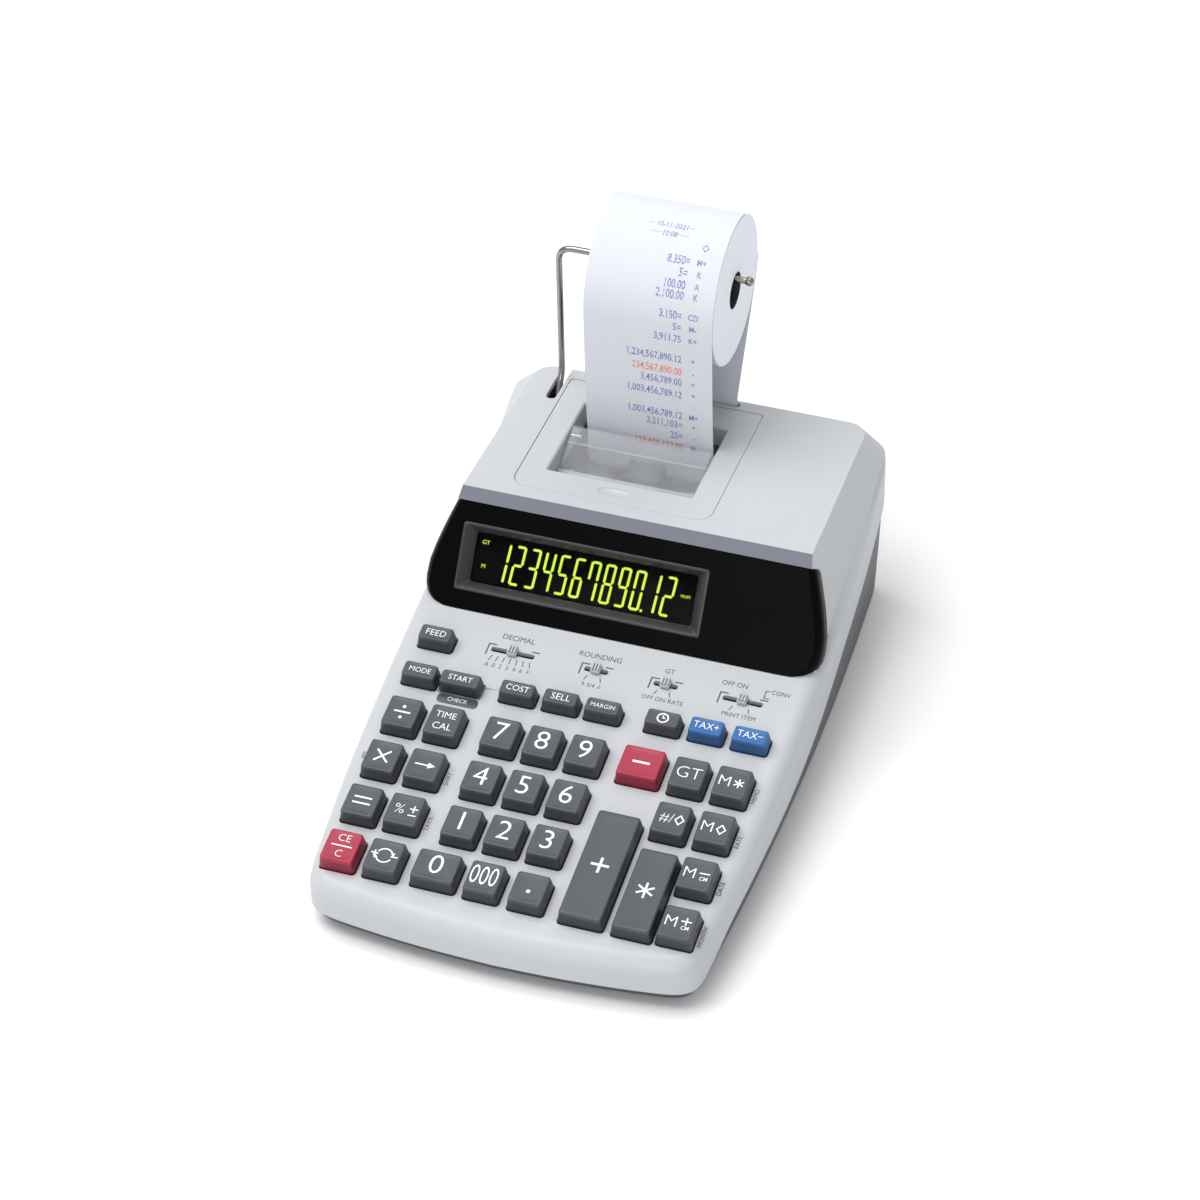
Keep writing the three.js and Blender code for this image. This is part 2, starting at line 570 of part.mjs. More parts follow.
function tapePath() {
  const pts = [];
  const arc = (y, z, r, a0, a1, n) => {
    for (let i = 0; i <= n; i += 1) {
      const a = (a0 + (a1 - a0) * i / n) * Math.PI / 180;
      pts.push([y + r * Math.cos(a), z + r * Math.sin(a)]);
    }
  };
  const r = ROLL_R + GAP + TAPE_T / 2 + 0.1;
  arc(ROLL_Y, ROLL_Z, r, 66, 180, 14);
  const left = ROLL_Y - r;
  const lean = FEED.y - FEED.r - GAP - TAPE_T - left;
  pts.push([left + lean * 0.0764, 118], [left + lean * 0.2293, 96], [left + lean * 0.4841, 78], [left + lean * 0.7643, 66]);
  arc(FEED.y, FEED.z, FEED.r + GAP + TAPE_T, 180, 270, 6);
  pts.push([206, 49.8], [213, 52], [219, 57], [222.6, 63.5], [223.8, 70], [224.6, 77]);
  const from = [224.6 - ROLL_Y, 77 - ROLL_Z];
  const leave = Math.atan2(from[1], from[0]) + Math.acos(r / Math.hypot(...from));
  const leaveDeg = leave * 180 / Math.PI;
  arc(ROLL_Y, ROLL_Z, r, leaveDeg, leaveDeg + 24, 3);
  return pts;
}

function ribbon(path, x0, x1, t) {
  const n = path.length;
  const side = (sign) => path.map((p, i) => {
    const a = path[Math.max(i - 1, 0)];
    const b = path[Math.min(i + 1, n - 1)];
    const len = Math.hypot(b[0] - a[0], b[1] - a[1]);
    return [p[0] - sign * (b[1] - a[1]) / len * t / 2, p[1] + sign * (b[0] - a[0]) / len * t / 2];
  });
  const up = side(1);
  const down = side(-1);
  const pos = [];
  for (let i = 0; i < n; i += 1) {
    pos.push(x0, ...up[i], x1, ...up[i], x0, ...down[i], x1, ...down[i]);
  }
  const tri = [];
  const quad = (a, b, c, d) => tri.push(a, c, b, a, d, c);
  for (let i = 0; i + 1 < n; i += 1) {
    const a = i * 4;
    const b = a + 4;
    quad(a, b, b + 1, a + 1);
    quad(a + 2, a + 3, b + 3, b + 2);
    quad(a, a + 2, b + 2, b);
    quad(a + 1, b + 1, b + 3, a + 3);
  }
  quad(0, 1, 3, 2);
  const e = (n - 1) * 4;
  quad(e, e + 2, e + 3, e + 1);
  return solid(pos, tri);
}

// ---- assembly --------------------------------------------------------------
add('top_case', topCase(), 'light');
add('bottom_case', bottomCase(), 'dark');
add('display_panel', displayPanel(), 'black');
add('display_window', displayWindow(), 'clear');
add('lcd_module', lcdModule(), 'lcd');
add('printer_cover', printerCover(), 'light');
add('tear_window', tearWindow(), 'clear');
add('printer_frame', printerFrame(), 'frame');
add('feed_roller', feedRoller(), 'rubber');
add('print_carriage', printCarriage(), 'frame');
add('paper_arm', paperArm(), 'chrome');
add('paper_roll', paperRoll(), 'paper');
add('paper_tape', ribbon(tapePath(), PAPER_X0, PAPER_X1, TAPE_T), 'paper');

const boardTop = -BOARD_H;
add('keyboard_board', box(-75, 75, -36, 92, boardTop - 1.6, boardTop).applyMatrix4(DECK), 'board');

for (const [name, x, y] of [
  ['foot_front_left', -62, -30], ['foot_front_right', 62, -30],
  ['foot_rear_left', -66, 200], ['foot_rear_right', 66, 200],
]) {
  const foot = new THREE.CylinderGeometry(8, 7.4, FLOOR - GAP - GROUND, 20).rotateX(Math.PI / 2);
  add(name, foot.translate(x, y, (FLOOR - GAP + GROUND) / 2), 'rubber');
}

for (const s of SWITCHES) {
  add(s.name, switchKnob(s), 'knob');
}
for (const k of KEYS) {
  add(k.name, keyCap(k), k.colour);
}

export default group;
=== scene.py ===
"""Printing desk calculator: builds the visible pieces around the packed frame.

Lengths are in millimetres in the case's own frame (x right, y back, z up from the deck datum) and
are turned into metres when a piece is made.
"""

import math

import bmesh
import bpy
import numpy as np
from bpy.props import FloatProperty, FloatVectorProperty, PointerProperty, StringProperty
from mathutils import Matrix, Vector


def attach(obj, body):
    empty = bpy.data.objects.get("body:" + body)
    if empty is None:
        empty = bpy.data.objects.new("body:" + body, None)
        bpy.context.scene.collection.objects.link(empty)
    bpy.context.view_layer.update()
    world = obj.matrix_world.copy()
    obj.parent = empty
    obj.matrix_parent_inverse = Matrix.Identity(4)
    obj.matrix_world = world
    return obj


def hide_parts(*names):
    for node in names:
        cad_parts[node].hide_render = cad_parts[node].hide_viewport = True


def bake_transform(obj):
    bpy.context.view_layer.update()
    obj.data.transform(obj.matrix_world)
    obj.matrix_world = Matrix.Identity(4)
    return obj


bl_info = {
    "name": "Printing desk calculator",
    "version": (1, 0, 0),
    "blender": (4, 5, 0),
    "location": "3D View > Sidebar > Calculator",
    "description": "Builds the case, keys, display, printer and paper of a desk calculator",
    "category": "Object",
}

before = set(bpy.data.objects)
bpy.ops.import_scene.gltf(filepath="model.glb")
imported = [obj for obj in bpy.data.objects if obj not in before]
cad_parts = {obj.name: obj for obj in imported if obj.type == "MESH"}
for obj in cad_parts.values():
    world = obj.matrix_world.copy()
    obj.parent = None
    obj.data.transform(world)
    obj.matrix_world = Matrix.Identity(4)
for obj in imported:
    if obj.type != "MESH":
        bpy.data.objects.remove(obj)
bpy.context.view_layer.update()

# ---- sizes shared by the pieces ---------------------------------------------
FRONT_Y = -57.0
REAR_Y = 229.0
ROLL_Y, ROLL_Z, ROLL_R, CORE_R = 220.0, 137.5, 33.0, 8.2
GROUND = -14.5
FLOOR = -11.5
WALL = 2.4
GAP = 0.3
SHIFT = Vector((0.0, -(FRONT_Y + ROLL_Y + ROLL_R + 0.65) / 2, -GROUND))
TILT = math.radians(9)
KEY_PLANE_Z = 24.0
KEY_RISE = 6.5
UNDER_DECK = KEY_RISE + WALL
DECK_Z0 = KEY_PLANE_Z - KEY_RISE / math.cos(TILT)
DECK = Matrix.Translation((0, 0, KEY_PLANE_Z)) @ Matrix.Rotation(TILT, 4, "X")
SKIN = -KEY_RISE  # height of the deck's surface in the deck frame

TOP_FRONT = (131.7, 77.0)
FOOT_FRONT = (101.4, 33.5)
TOP_REAR = (227.0, 72.8)
HALF_TOP, HALF_FOOT, HALF_REAR = 77.3, 86.8, 75.5
PANEL_ANGLE = math.atan2(TOP_FRONT[1] - FOOT_FRONT[1], TOP_FRONT[0] - FOOT_FRONT[0])
PANEL = Matrix.Translation((0, *FOOT_FRONT)) @ Matrix.Rotation(PANEL_ANGLE, 4, "X")
PANEL_T = 4.0
PANEL_TOP_V = 46.6
TOP_ANGLE = math.atan2(TOP_REAR[1] - TOP_FRONT[1], TOP_REAR[0] - TOP_FRONT[0])
LID = Matrix.Translation((0, *TOP_FRONT)) @ Matrix.Rotation(TOP_ANGLE, 4, "X")
WINDOW = (-74.4, 36.2, 8.2, 38.6)

PAPER_X0, PAPER_X1 = -40.5, 16.5
COVER = (-58.6, 29.6, 139.2, 220.3)
MOUTH = (-47.0, 18.0, 153.5, 205.0)
ARM_X, ARM_TIP_X, WIRE_R = -62.8, 25.0, 1.8
ARM_PIVOT = (207.0, 62.0)
WIRE_Z = ROLL_Z + CORE_R - WIRE_R - GAP
FEED = (197.0, 56.0, 6.0)
TAPE_T = 0.35
TEAR_FRONT, TEAR_REAR, TEAR_T = (163.0, 66.5), (185.6, 76.3), 1.2
INK_ROLLER = (166.4, 58.8)
GUIDE_PIN = (184.5, 71.0)
INLET_X, INLET_Y, INLET_Z = 60, 219.5, 12
FEET = (("front_left", -62, -30), ("front_right", 62, -30),
        ("rear_left", -66, 200), ("rear_right", 66, 200))
SCREWS = ((-72, -28), (72, -28), (-72, 178), (72, 178))
UPRIGHT = Matrix.Rotation(-math.pi / 2, 4, "Y")  # stands a turned shape on end
BACKWARD = Matrix.Rotation(math.pi / 2, 4, "Z")  # points a turned shape to the rear

RAIL = ((100, DECK_Z0 + 100 * math.tan(TILT)), (123, 38), (142, 42.5), (168, 49), (186, 54),
        (205, 60), (222, 66.5), (232, 68.5))
PARTING = ((-46, -6), (-30, -2.5), (-10, 1.5), (60, 3.5), (100, 8.5), (142, 19.5), (180, 27),
           (205, 34), (232, 42))


def smooth_table(rows, y):
    """Height from a table, along one smooth curve through its rows."""
    if y <= rows[0][0]:
        return rows[0][1]
    if y >= rows[-1][0]:
        return rows[-1][1]
    k = next(i for i in range(len(rows) - 1) if y <= rows[i + 1][0])

    def slope(i):
        a, b = rows[max(i - 1, 0)], rows[min(i + 1, len(rows) - 1)]
        return (b[1] - a[1]) / (b[0] - a[0])

    (ya, za), (yb, zb) = rows[k], rows[k + 1]
    d = yb - ya
    t = (y - ya) / d
    return ((2 * t**3 - 3 * t**2 + 1) * za + (t**3 - 2 * t**2 + t) * d * slope(k)
            + (3 * t**2 - 2 * t**3) * zb + (t**3 - t**2) * d * slope(k + 1))


def deck_z(y):
    """Height of the key deck's surface."""
    return DECK_Z0 + y * math.tan(TILT)


def edge_z(y):
    """Height of the deck's rim and of the side rails behind it."""
    return deck_z(y) if y < 100 else smooth_table(RAIL, y)


def parting_z(y):
    """Height of the joint between the top and bottom case."""
    return smooth_table(PARTING, y)


def top_z(y):
    """Height of the display housing's top."""
    return TOP_FRONT[1] + (TOP_REAR[1] - TOP_FRONT[1]) * (y - TOP_FRONT[0]) / (TOP_REAR[0] - TOP_FRONT[0])


# ---- small solid-modelling kit ----------------------------------------------
class Shape:
    """Corners in millimetres, faces and each face's material number."""

    def __init__(self, points, faces, paint=0):
        self.points = np.array(points, float).reshape(-1, 3)
        self.faces = [tuple(f) for f in faces]
        self.paint = [paint] * len(self.faces) if isinstance(paint, int) else list(paint)

    def moved(self, matrix):
        """The same shape carried by a matrix."""
        m = np.array(matrix)
        return Shape(self.points @ m[:3, :3].T + m[:3, 3], self.faces, self.paint)

    def painted(self, number):
        """The same shape with one material number."""
        return Shape(self.points, self.faces, number)

    def __add__(self, other):
        n = len(self.points)
        faces = self.faces + [tuple(i + n for i in f) for f in other.faces]
        return Shape(np.vstack((self.points, other.points)), faces, self.paint + other.paint)


def together(shapes):
    """Several shapes laid side by side as one."""
    shapes = list(shapes)
    points, faces, paint, n = [], [], [], 0
    for s in shapes:
        points.append(s.points)
        faces += [tuple(i + n for i in f) for f in s.faces]
        paint += s.paint
        n += len(s.points)
    return Shape(np.vstack(points), faces, paint)


def loft(rings, caps="fan", ends=True, loop=False):
    """Skin over rings of equal length. Caps are a fan, or strips across a mirrored ring."""
    n = len(rings[0])
    count = len(rings)
    points = [p for ring in rings for p in ring]
    faces = []
    for r in range(count if loop else count - 1):
        a, b = r * n, ((r + 1) % count) * n
        faces += [(a + i, a + (i + 1) % n, b + (i + 1) % n, b + i) for i in range(n)]
    if ends and not loop:
        for base, flip in ((0, True), ((count - 1) * n, False)):
            if caps == "strips":
                half = n // 2
                cap = [(base, base + 1, base + n - 1)]
                cap += [(base + i, base + i + 1, base + n - i - 1, base + n - i)
                        for i in range(1, half - 1)]
                cap.append((base + half - 1, base + half, base + half + 1))
            else:
                cap = [tuple(range(base, base + n))]
            faces += [f[::-1] if flip else f for f in cap]
    return Shape(points, faces)


def rounded(w, d, r, n=6, x=0.0, y=0.0, side=1):
    """Points of a rounded rectangle, counter-clockwise, its straight sides in that many parts."""
    out = []
    corners = ((w / 2 - r, d / 2 - r, 0), (r - w / 2, d / 2 - r, 90),
               (r - w / 2, r - d / 2, 180), (w / 2 - r, r - d / 2, 270))
    for k, (cx, cy, a0) in enumerate(corners):
        for i in range(n + 1):
            a = math.radians(a0 + 90 * i / n)
            out.append((x + cx + r * math.cos(a), y + cy + r * math.sin(a)))
        nx, ny, _ = corners[(k + 1) % 4]
        a = math.radians(a0 + 90)
        ex, ey = x + nx + r * math.cos(a), y + ny + r * math.sin(a)
        sx, sy = out[-1]
        out += [(sx + (ex - sx) * i / side, sy + (ey - sy) * i / side) for i in range(1, side)]
    return out


def slab(x0, x1, y0, y1, z0, z1, r=0.3, n=3, soft=0.0):
    """A block with rounded upright edges, and softened top and bottom edges if asked."""
    w, d, cx, cy = x1 - x0, y1 - y0, (x0 + x1) / 2, (y0 + y1) / 2

    def ring(inset, z):
        return [(*p, z) for p in rounded(w - 2 * inset, d - 2 * inset, max(r - inset, 0.02), n, cx, cy)]

    if not soft:
        return loft([ring(0, z0), ring(0, z1)])
    k = soft * 0.3
    return loft([ring(soft, z0), ring(k, z0 + k), ring(0, z0 + soft),
                 ring(0, z1 - soft), ring(k, z1 - k), ring(soft, z1)])


def turned(profile, n=32):
    """A solid of revolution about x: profile is (x, radius) from one end to the other."""
    rings = [[(x, r * math.cos(2 * math.pi * i / n), r * math.sin(2 * math.pi * i / n)) for i in range(n)]
             for x, r in profile]
    return loft(rings)


def rod_x(x0, x1, y, z, r, n=32, soft=0.3):
    """A rod along x with softened ends."""
    k = soft * 0.3
    profile = ((x0, r - soft), (x0 + k, r - k), (x0 + soft, r),
               (x1 - soft, r), (x1 - k, r - k), (x1, r - soft))
    return turned(profile, n).moved(Matrix.Translation((0, y, z)))


def object_of(shape, name="part"):
    """A bare mesh object from a shape, in millimetres."""
    mesh = bpy.data.meshes.new(name)
    mesh.from_pydata([tuple(p) for p in shape.points], [], shape.faces)
    mesh.polygons.foreach_set("material_index", shape.paint)
    obj = bpy.data.objects.new(name, mesh)
    bpy.context.scene.collection.objects.link(obj)
    return obj


def shape_of(obj):
    """The evaluated mesh of an object as a shape, after which the object is gone."""
    deps = bpy.context.evaluated_depsgraph_get()
    mesh = obj.evaluated_get(deps).to_mesh()
    points = np.zeros(len(mesh.vertices) * 3)
    mesh.vertices.foreach_get("co", points)
    faces = [tuple(p.vertices) for p in mesh.polygons]
    paint = [p.material_index for p in mesh.polygons]
    data = obj.data
    bpy.data.objects.remove(obj)
    (bpy.data.curves if isinstance(data, bpy.types.Curve) else bpy.data.meshes).remove(data)
    return Shape(points, faces, paint)


def clean(shape):
    """The same shape with merged corners and faces pointing outwards."""
    bm = bmesh.new()
    verts = [bm.verts.new(p) for p in shape.points]
    for f, m in zip(shape.faces, shape.paint):
        if len(set(f)) > 2:
            bm.faces.new([verts[i] for i in f]).material_index = m
    bmesh.ops.remove_doubles(bm, verts=bm.verts, dist=1e-4)
    bmesh.ops.recalc_face_normals(bm, faces=bm.faces)
    bm.verts.index_update()
    out = Shape([v.co[:] for v in bm.verts], [[v.index for v in f.verts] for f in bm.faces],
                [f.material_index for f in bm.faces])
    bm.free()
    return out


def combine(a, b, operation):
    """Union, difference or intersection of two closed shapes."""
    first, second = object_of(clean(a)), object_of(clean(b))
    m = first.modifiers.new("cut", "BOOLEAN")
    m.object, m.operation, m.solver = second, operation, "MANIFOLD"
    bpy.context.view_layer.update()
    out = shape_of(first)
    bpy.data.objects.remove(second)
    if not out.faces:
        raise RuntimeError("a boolean left nothing")
    return out


def bevelled(shape, width, segments=3, degrees=30):
    """The same shape with its sharp edges rounded."""
    obj = object_of(clean(shape))
    m = obj.modifiers.new("soften", "BEVEL")
    m.width, m.segments, m.limit_method, m.angle_limit = width, segments, "ANGLE", math.radians(degrees)
    bpy.context.view_layer.update()
    return shape_of(obj)


def sweep(path, radius, n=20, ends=True):
    """A round bar along a path, with domed ends."""
    pts = [Vector(p) for p in path]
    rings = []
    side = None
    for i, p in enumerate(pts):
        d = (pts[min(i + 1, len(pts) - 1)] - pts[max(i - 1, 0)]).normalized()
        if side is None:
            side = d.orthogonal().normalized()
        side = (side - d * side.dot(d)).normalized()
        up = d.cross(side)
        rings.append((p, d, side, up))
    out = []

    def ring(p, side, up, r):
        return [tuple(p + side * r * math.cos(2 * math.pi * k / n) + up * r * math.sin(2 * math.pi * k / n))
                for k in range(n)]

    dome = (5, 30, 55, 75)
    if ends:
        p, d, s, u = rings[0]
        out += [ring(p - d * radius * math.cos(math.radians(a)), s, u, radius * math.sin(math.radians(a)))
                for a in dome]
    out += [ring(p, s, u, radius) for p, _, s, u in rings]
    if ends:
        p, d, s, u = rings[-1]
        out += [ring(p + d * radius * math.cos(math.radians(a)), s, u, radius * math.sin(math.radians(a)))
                for a in dome[::-1]]
    return loft(out)


def make(name, shape, finishes, body, replaces=(), slot=None, angle=32, weighted=False):
    """Turns a shape into a shown piece that rides on a body."""
    shape = clean(shape)
    mesh = bpy.data.meshes.new(name)
    points = (shape.points + np.array(SHIFT)) * 0.001
    mesh.from_pydata([tuple(p) for p in points], [], shape.faces)
    for f in finishes:
        mesh.materials.append(f)
    mesh.polygons.foreach_set("material_index", shape.paint)
    mesh.shade_smooth()
    mesh.set_sharp_from_angle(angle=math.radians(angle))
    mesh.validate()
    obj = bpy.data.objects.new(name, mesh)
    bpy.context.scene.collection.objects.link(obj)
    if weighted:
        m = obj.modifiers.new("even shading", "WEIGHTED_NORMAL")
        m.keep_sharp = True
    if body:
        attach(obj, body)
    if replaces:
        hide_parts(*replaces)
    return obj


def lettering(text, size, x=0.0, y=0.0, z=0.0, thick=0.04, thin=0.0, wide=1.0, turn=0.0, align="CENTER"):
    """Raised lettering, flat in x and y, its middle at (x, y)."""
    curve = bpy.data.curves.new("lettering", "FONT")
    curve.body, curve.size, curve.align_x, curve.align_y = text, size, align, "CENTER"
    curve.extrude, curve.offset, curve.resolution_u = thick / 2, -thin, 3
    obj = bpy.data.objects.new("lettering", curve)
    bpy.context.scene.collection.objects.link(obj)
    bpy.context.view_layer.update()
    place = Matrix.Translation((x, y, z)) @ Matrix.Rotation(turn, 4, "Z") @ Matrix.Diagonal((wide, 1, 1, 1))
    return shape_of(obj).moved(place)


def stroke(points, width, z=0.0, thick=0.04, closed=False):
    """A flat raised line of even width through points, with square ends."""
    pts = [Vector(p) for p in points]
    n = len(pts)
    rings = []
    for i, p in enumerate(pts):
        before = pts[(i - 1) % n] if closed or i else None
        after = pts[(i + 1) % n] if closed or i < n - 1 else None
        d1 = (p - before).normalized() if before is not None else (after - p).normalized()
        d2 = (after - p).normalized() if after is not None else d1
        mid = (d1 + d2).normalized()
        nrm = Vector((-mid.y, mid.x))
        k = width / 2 / max(nrm.dot(Vector((-d1.y, d1.x))), 0.5)
        a, b = p + nrm * k, p - nrm * k
        rings.append([(a.x, a.y, z - thick / 2), (b.x, b.y, z - thick / 2),
                      (b.x, b.y, z + thick / 2), (a.x, a.y, z + thick / 2)])
    return loft(rings, loop=closed)


def arc(x, y, r, a0, a1, n=20):
    """Points along an arc, angles in degrees."""
    return [(x + r * math.cos(math.radians(a0 + (a1 - a0) * i / n)),
             y + r * math.sin(math.radians(a0 + (a1 - a0) * i / n))) for i in range(n + 1)]


def dot(x, y, r, z=0.0, thick=0.04):
    """A small raised round."""
    ring = arc(x, y, r, 0, 345, 23)
    return loft([[(*p, z - thick / 2) for p in ring], [(*p, z + thick / 2) for p in ring]])


# ---- shaders ----------------------------------------------------------------
class Value:
    """A shader socket that can stand in sums."""

    def __init__(self, finish, socket):
        self.finish = finish
        self.socket = socket

    def _maths(self, operation, a, b):
        return self.finish.node("ShaderNodeMath", {"operation": operation}, {0: a, 1: b})

    def __add__(self, other):
        return self._maths("ADD", self, other)

    __radd__ = __add__

    def __mul__(self, other):
        return self._maths("MULTIPLY", self, other)

    __rmul__ = __mul__

    def __sub__(self, other):
        return self._maths("SUBTRACT", self, other)

    def __rsub__(self, other):
        return self._maths("SUBTRACT", other, self)


class Finish:
    """One material, built from expressions on its sockets."""

    def __init__(self, name):
        self.material = bpy.data.materials.new(name)
        self.material.use_nodes = True
        self.tree = self.material.node_tree
        self.shader = self.tree.nodes["Principled BSDF"]

    def node(self, kind, settings=None, inputs=None, output=0):
        """A node of that type, its settings set first and then its sockets."""
        n = self.tree.nodes.new(kind)
        for key, value in (settings or {}).items():
            if key == "stops":
                elements = n.color_ramp.elements
                while len(elements) < len(value):
                    elements.new(0.5)
                for e, (place, level) in zip(elements, value):
                    e.position, e.color = place, (level, level, level, 1)
            else:
                setattr(n, key, value)
        self.fill(n, inputs or {})
        return Value(self, n.outputs[output])

    def fill(self, n, inputs):
        """Puts values or links on a node's sockets."""
        for key, value in inputs.items():
            if isinstance(value, Value):
                self.tree.links.new(value.socket, n.inputs[key])
            else:
                n.inputs[key].default_value = value

    def place(self):
        """Position on the piece, in metres."""
        return self.node("ShaderNodeTexCoord", output=3)

    def noise(self, scale, detail=2.0, rough=0.5, where=None):
        """Even noise between 0 and 1."""
        return self.node("ShaderNodeTexNoise", None, {
            "Vector": where or self.place(), "Scale": scale, "Detail": detail, "Roughness": rough})

    def ramp(self, value, *stops):
        """A number mapped through stops of (place, level)."""
        return self.node("ShaderNodeValToRGB", {"stops": stops}, {"Fac": value})

    def mix(self, factor, a, b):
        """Colour a turned into colour b by a factor."""
        return self.node("ShaderNodeMix", {"data_type": "RGBA"}, {0: factor, 6: a, 7: b}, 2)

    def bump(self, height, depth, strength=1.0):
        """A normal from a height, its depth in metres."""
        return self.node("ShaderNodeBump", None, {
            "Height": height, "Distance": depth, "Strength": strength})

    def done(self, **sockets):
        """Sets the main shader's sockets and gives back the material."""
        self.fill(self.shader, {k.replace("_", " "): v for k, v in sockets.items()})
        return self.material


def tone(colour, k=1.0):
    """A colour with alpha, made lighter or darker."""
    return (min(colour[0] * k, 1), min(colour[1] * k, 1), min(colour[2] * k, 1), 1)


def moulded(name, colour, rough=0.42, grain=0.000012, wear=0.04):
    """Moulded plastic with a fine spark-eroded grain and faint handling marks."""
    f = Finish(name)
    broad = f.noise(14, 3)
    fine = f.noise(2600, 3, 0.6)
    marks = f.ramp(f.noise(90, 5, 0.62), (0.42, 0), (0.66, 1))
    base = f.mix(broad, tone(colour, 1 - wear), tone(colour, 1 + wear))
    return f.done(Base_Color=f.mix(fine * 0.35, base, tone(colour, 0.9)),
                  Roughness=rough - 0.05 + fine * 0.06 + marks * 0.05,
                  Normal=f.bump(fine + f.noise(700, 2) * 0.6, grain), Specular_IOR_Level=0.45)


def gloss_black(name, colour):
    """Polished black panel with faint dust and wiping marks."""
    f = Finish(name)
    smear = f.ramp(f.noise(35, 6, 0.6), (0.4, 0), (0.75, 1))
    dust = f.ramp(f.noise(900, 2), (0.68, 0), (0.76, 1))
    return f.done(Base_Color=f.mix(dust * 0.15, tone(colour), tone(colour, 1.6)),
                  Roughness=0.16 + smear * 0.06 + dust * 0.03, Specular_IOR_Level=0.03,
                  Normal=f.bump(f.noise(25, 2), 0.00002, 0.4))


def key_plastic(name, colour):
    """Satin key cap, finely textured, a little polished where fingers press."""
    f = Finish(name)
    fine = f.noise(3200, 3, 0.6)
    broad = f.noise(45, 4, 0.55)
    rub = f.ramp(f.noise(160, 4), (0.45, 0), (0.7, 1))
    return f.done(Base_Color=f.mix(broad, tone(colour, 0.93), tone(colour, 1.08)),
                  Roughness=0.4 + fine * 0.1 - rub * 0.06, Normal=f.bump(fine, 0.000014),
                  Specular_IOR_Level=0.5)


def printed(name, colour, rough=0.5, patchy=0.12):
    """Printing ink: slightly uneven where it took less."""
    f = Finish(name)
    thin = f.ramp(f.noise(1900, 3), (0.35, 1), (0.6, 0))
    return f.done(Base_Color=f.mix(thin * patchy, tone(colour), (0.8, 0.8, 0.8, 1)),
                  Roughness=rough + f.noise(1200, 2) * 0.1, Normal=f.bump(f.noise(2400, 2), 0.000006))


def paper_stock(name, colour):
    """Uncoated paper: fibres and a faint cloudiness."""
    f = Finish(name)
    fibre = f.noise(1500, 6, 0.7)
    cloud = f.noise(120, 4)
    return f.done(Base_Color=f.mix(fibre * 0.5 + cloud * 0.3, tone(colour, 0.95), tone(colour, 1.02)),
                  Roughness=0.86 + fibre * 0.08, Normal=f.bump(fibre, 0.00002), Specular_IOR_Level=0.2)


def paper_edges(name, colour):
    """The wound edge of a paper roll: hundreds of turns seen end on."""
    f = Finish(name)
    middle = (0, (ROLL_Y + SHIFT.y) * 0.001, (ROLL_Z + SHIFT.z) * 0.001)
    arm = f.node("ShaderNodeVectorMath", {"operation": "SUBTRACT"}, {0: f.place(), 1: middle})
    flat = f.node("ShaderNodeVectorMath", {"operation": "MULTIPLY"}, {0: arm, 1: (0, 1, 1)})
    reach = f.node("ShaderNodeVectorMath", {"operation": "LENGTH"}, {0: flat}, 1)
    turns = f.node("ShaderNodeMath", {"operation": "SINE"}, {0: reach * 9000 + f.noise(60, 3) * 9})
    loose = f.node("ShaderNodeMath", {"operation": "SINE"}, {0: reach * 1300 + f.noise(25, 2) * 6})
    tint = turns * 0.1 + loose * 0.08 + 0.5
    return f.done(Base_Color=f.mix(tint, tone(colour, 0.95), tone(colour, 1.0)), Roughness=0.9,
                  Normal=f.bump(turns + loose * 0.3 + f.noise(900, 3), 0.000015), Specular_IOR_Level=0.2)


def plated(name, colour):
    """Bright plated steel wire with fine drawing lines and a little dulling."""
    f = Finish(name)
    lines = f.noise(700, 4, 0.7)
    dull = f.ramp(f.noise(60, 4), (0.4, 0), (0.7, 1))
    return f.done(Base_Color=f.mix(dull * 0.3, tone(colour), tone(colour, 0.7)), Metallic=1.0,
                  Roughness=0.1 + lines * 0.08 + dull * 0.12, Normal=f.bump(lines, 0.000008))


def clear_plastic(name, colour, alpha):
    """Clear moulding, faintly misted."""
    f = Finish(name)
    mist = f.ramp(f.noise(70, 4), (0.4, 0), (0.7, 1))
    return f.done(Base_Color=f.mix(mist, tone(colour), tone(colour, 1.05)), Roughness=0.06 + mist * 0.06,
                  Alpha=alpha + mist * 0.04, Specular_IOR_Level=0.25,
                  Normal=f.bump(f.noise(40, 2), 0.00002, 0.3))


def soft_rubber(name, colour):
    """Matt rubber with a powdery bloom."""
    f = Finish(name)
    fine = f.noise(1400, 4, 0.65)
    bloom = f.ramp(f.noise(130, 4), (0.4, 0), (0.75, 1))
    return f.done(Base_Color=f.mix(bloom * 0.4, tone(colour), tone(colour, 2.0)),
                  Roughness=0.78 + fine * 0.12, Normal=f.bump(fine, 0.00005))


def circuit(name, colour):
    """Circuit board: solder mask over a pattern of tracks."""
    f = Finish(name)
    tracks = f.node("ShaderNodeTexBrick", None, {
        "Vector": f.place(), "Scale": 60.0, "Mortar Size": 0.03, "Color1": (0, 0, 0, 1),
        "Color2": (0, 0, 0, 1), "Mortar": (1, 1, 1, 1)})
    return f.done(Base_Color=f.mix(tracks * 0.7, tone(colour), tone(colour, 1.8)),
                  Roughness=0.4 + f.noise(300, 3) * 0.15, Normal=f.bump(tracks, 0.00003))


def lit(name, colour, strength):
    """Glowing display segments, a little brighter in their middle."""
    f = Finish(name)
    glow = f.mix(f.noise(500, 2), tone(colour, 0.9), tone(colour, 1.1))
    return f.done(Base_Color=tone(colour, 0.3), Roughness=0.4, Emission_Color=glow,
                  Emission_Strength=strength)


# ---- user settings ----------------------------------------------------------
def colour_setting(name, text, default):
    """A colour that a user may change."""
    return FloatVectorProperty(name=name, description=text, subtype="COLOR", size=3, min=0, max=1,
                               default=default)


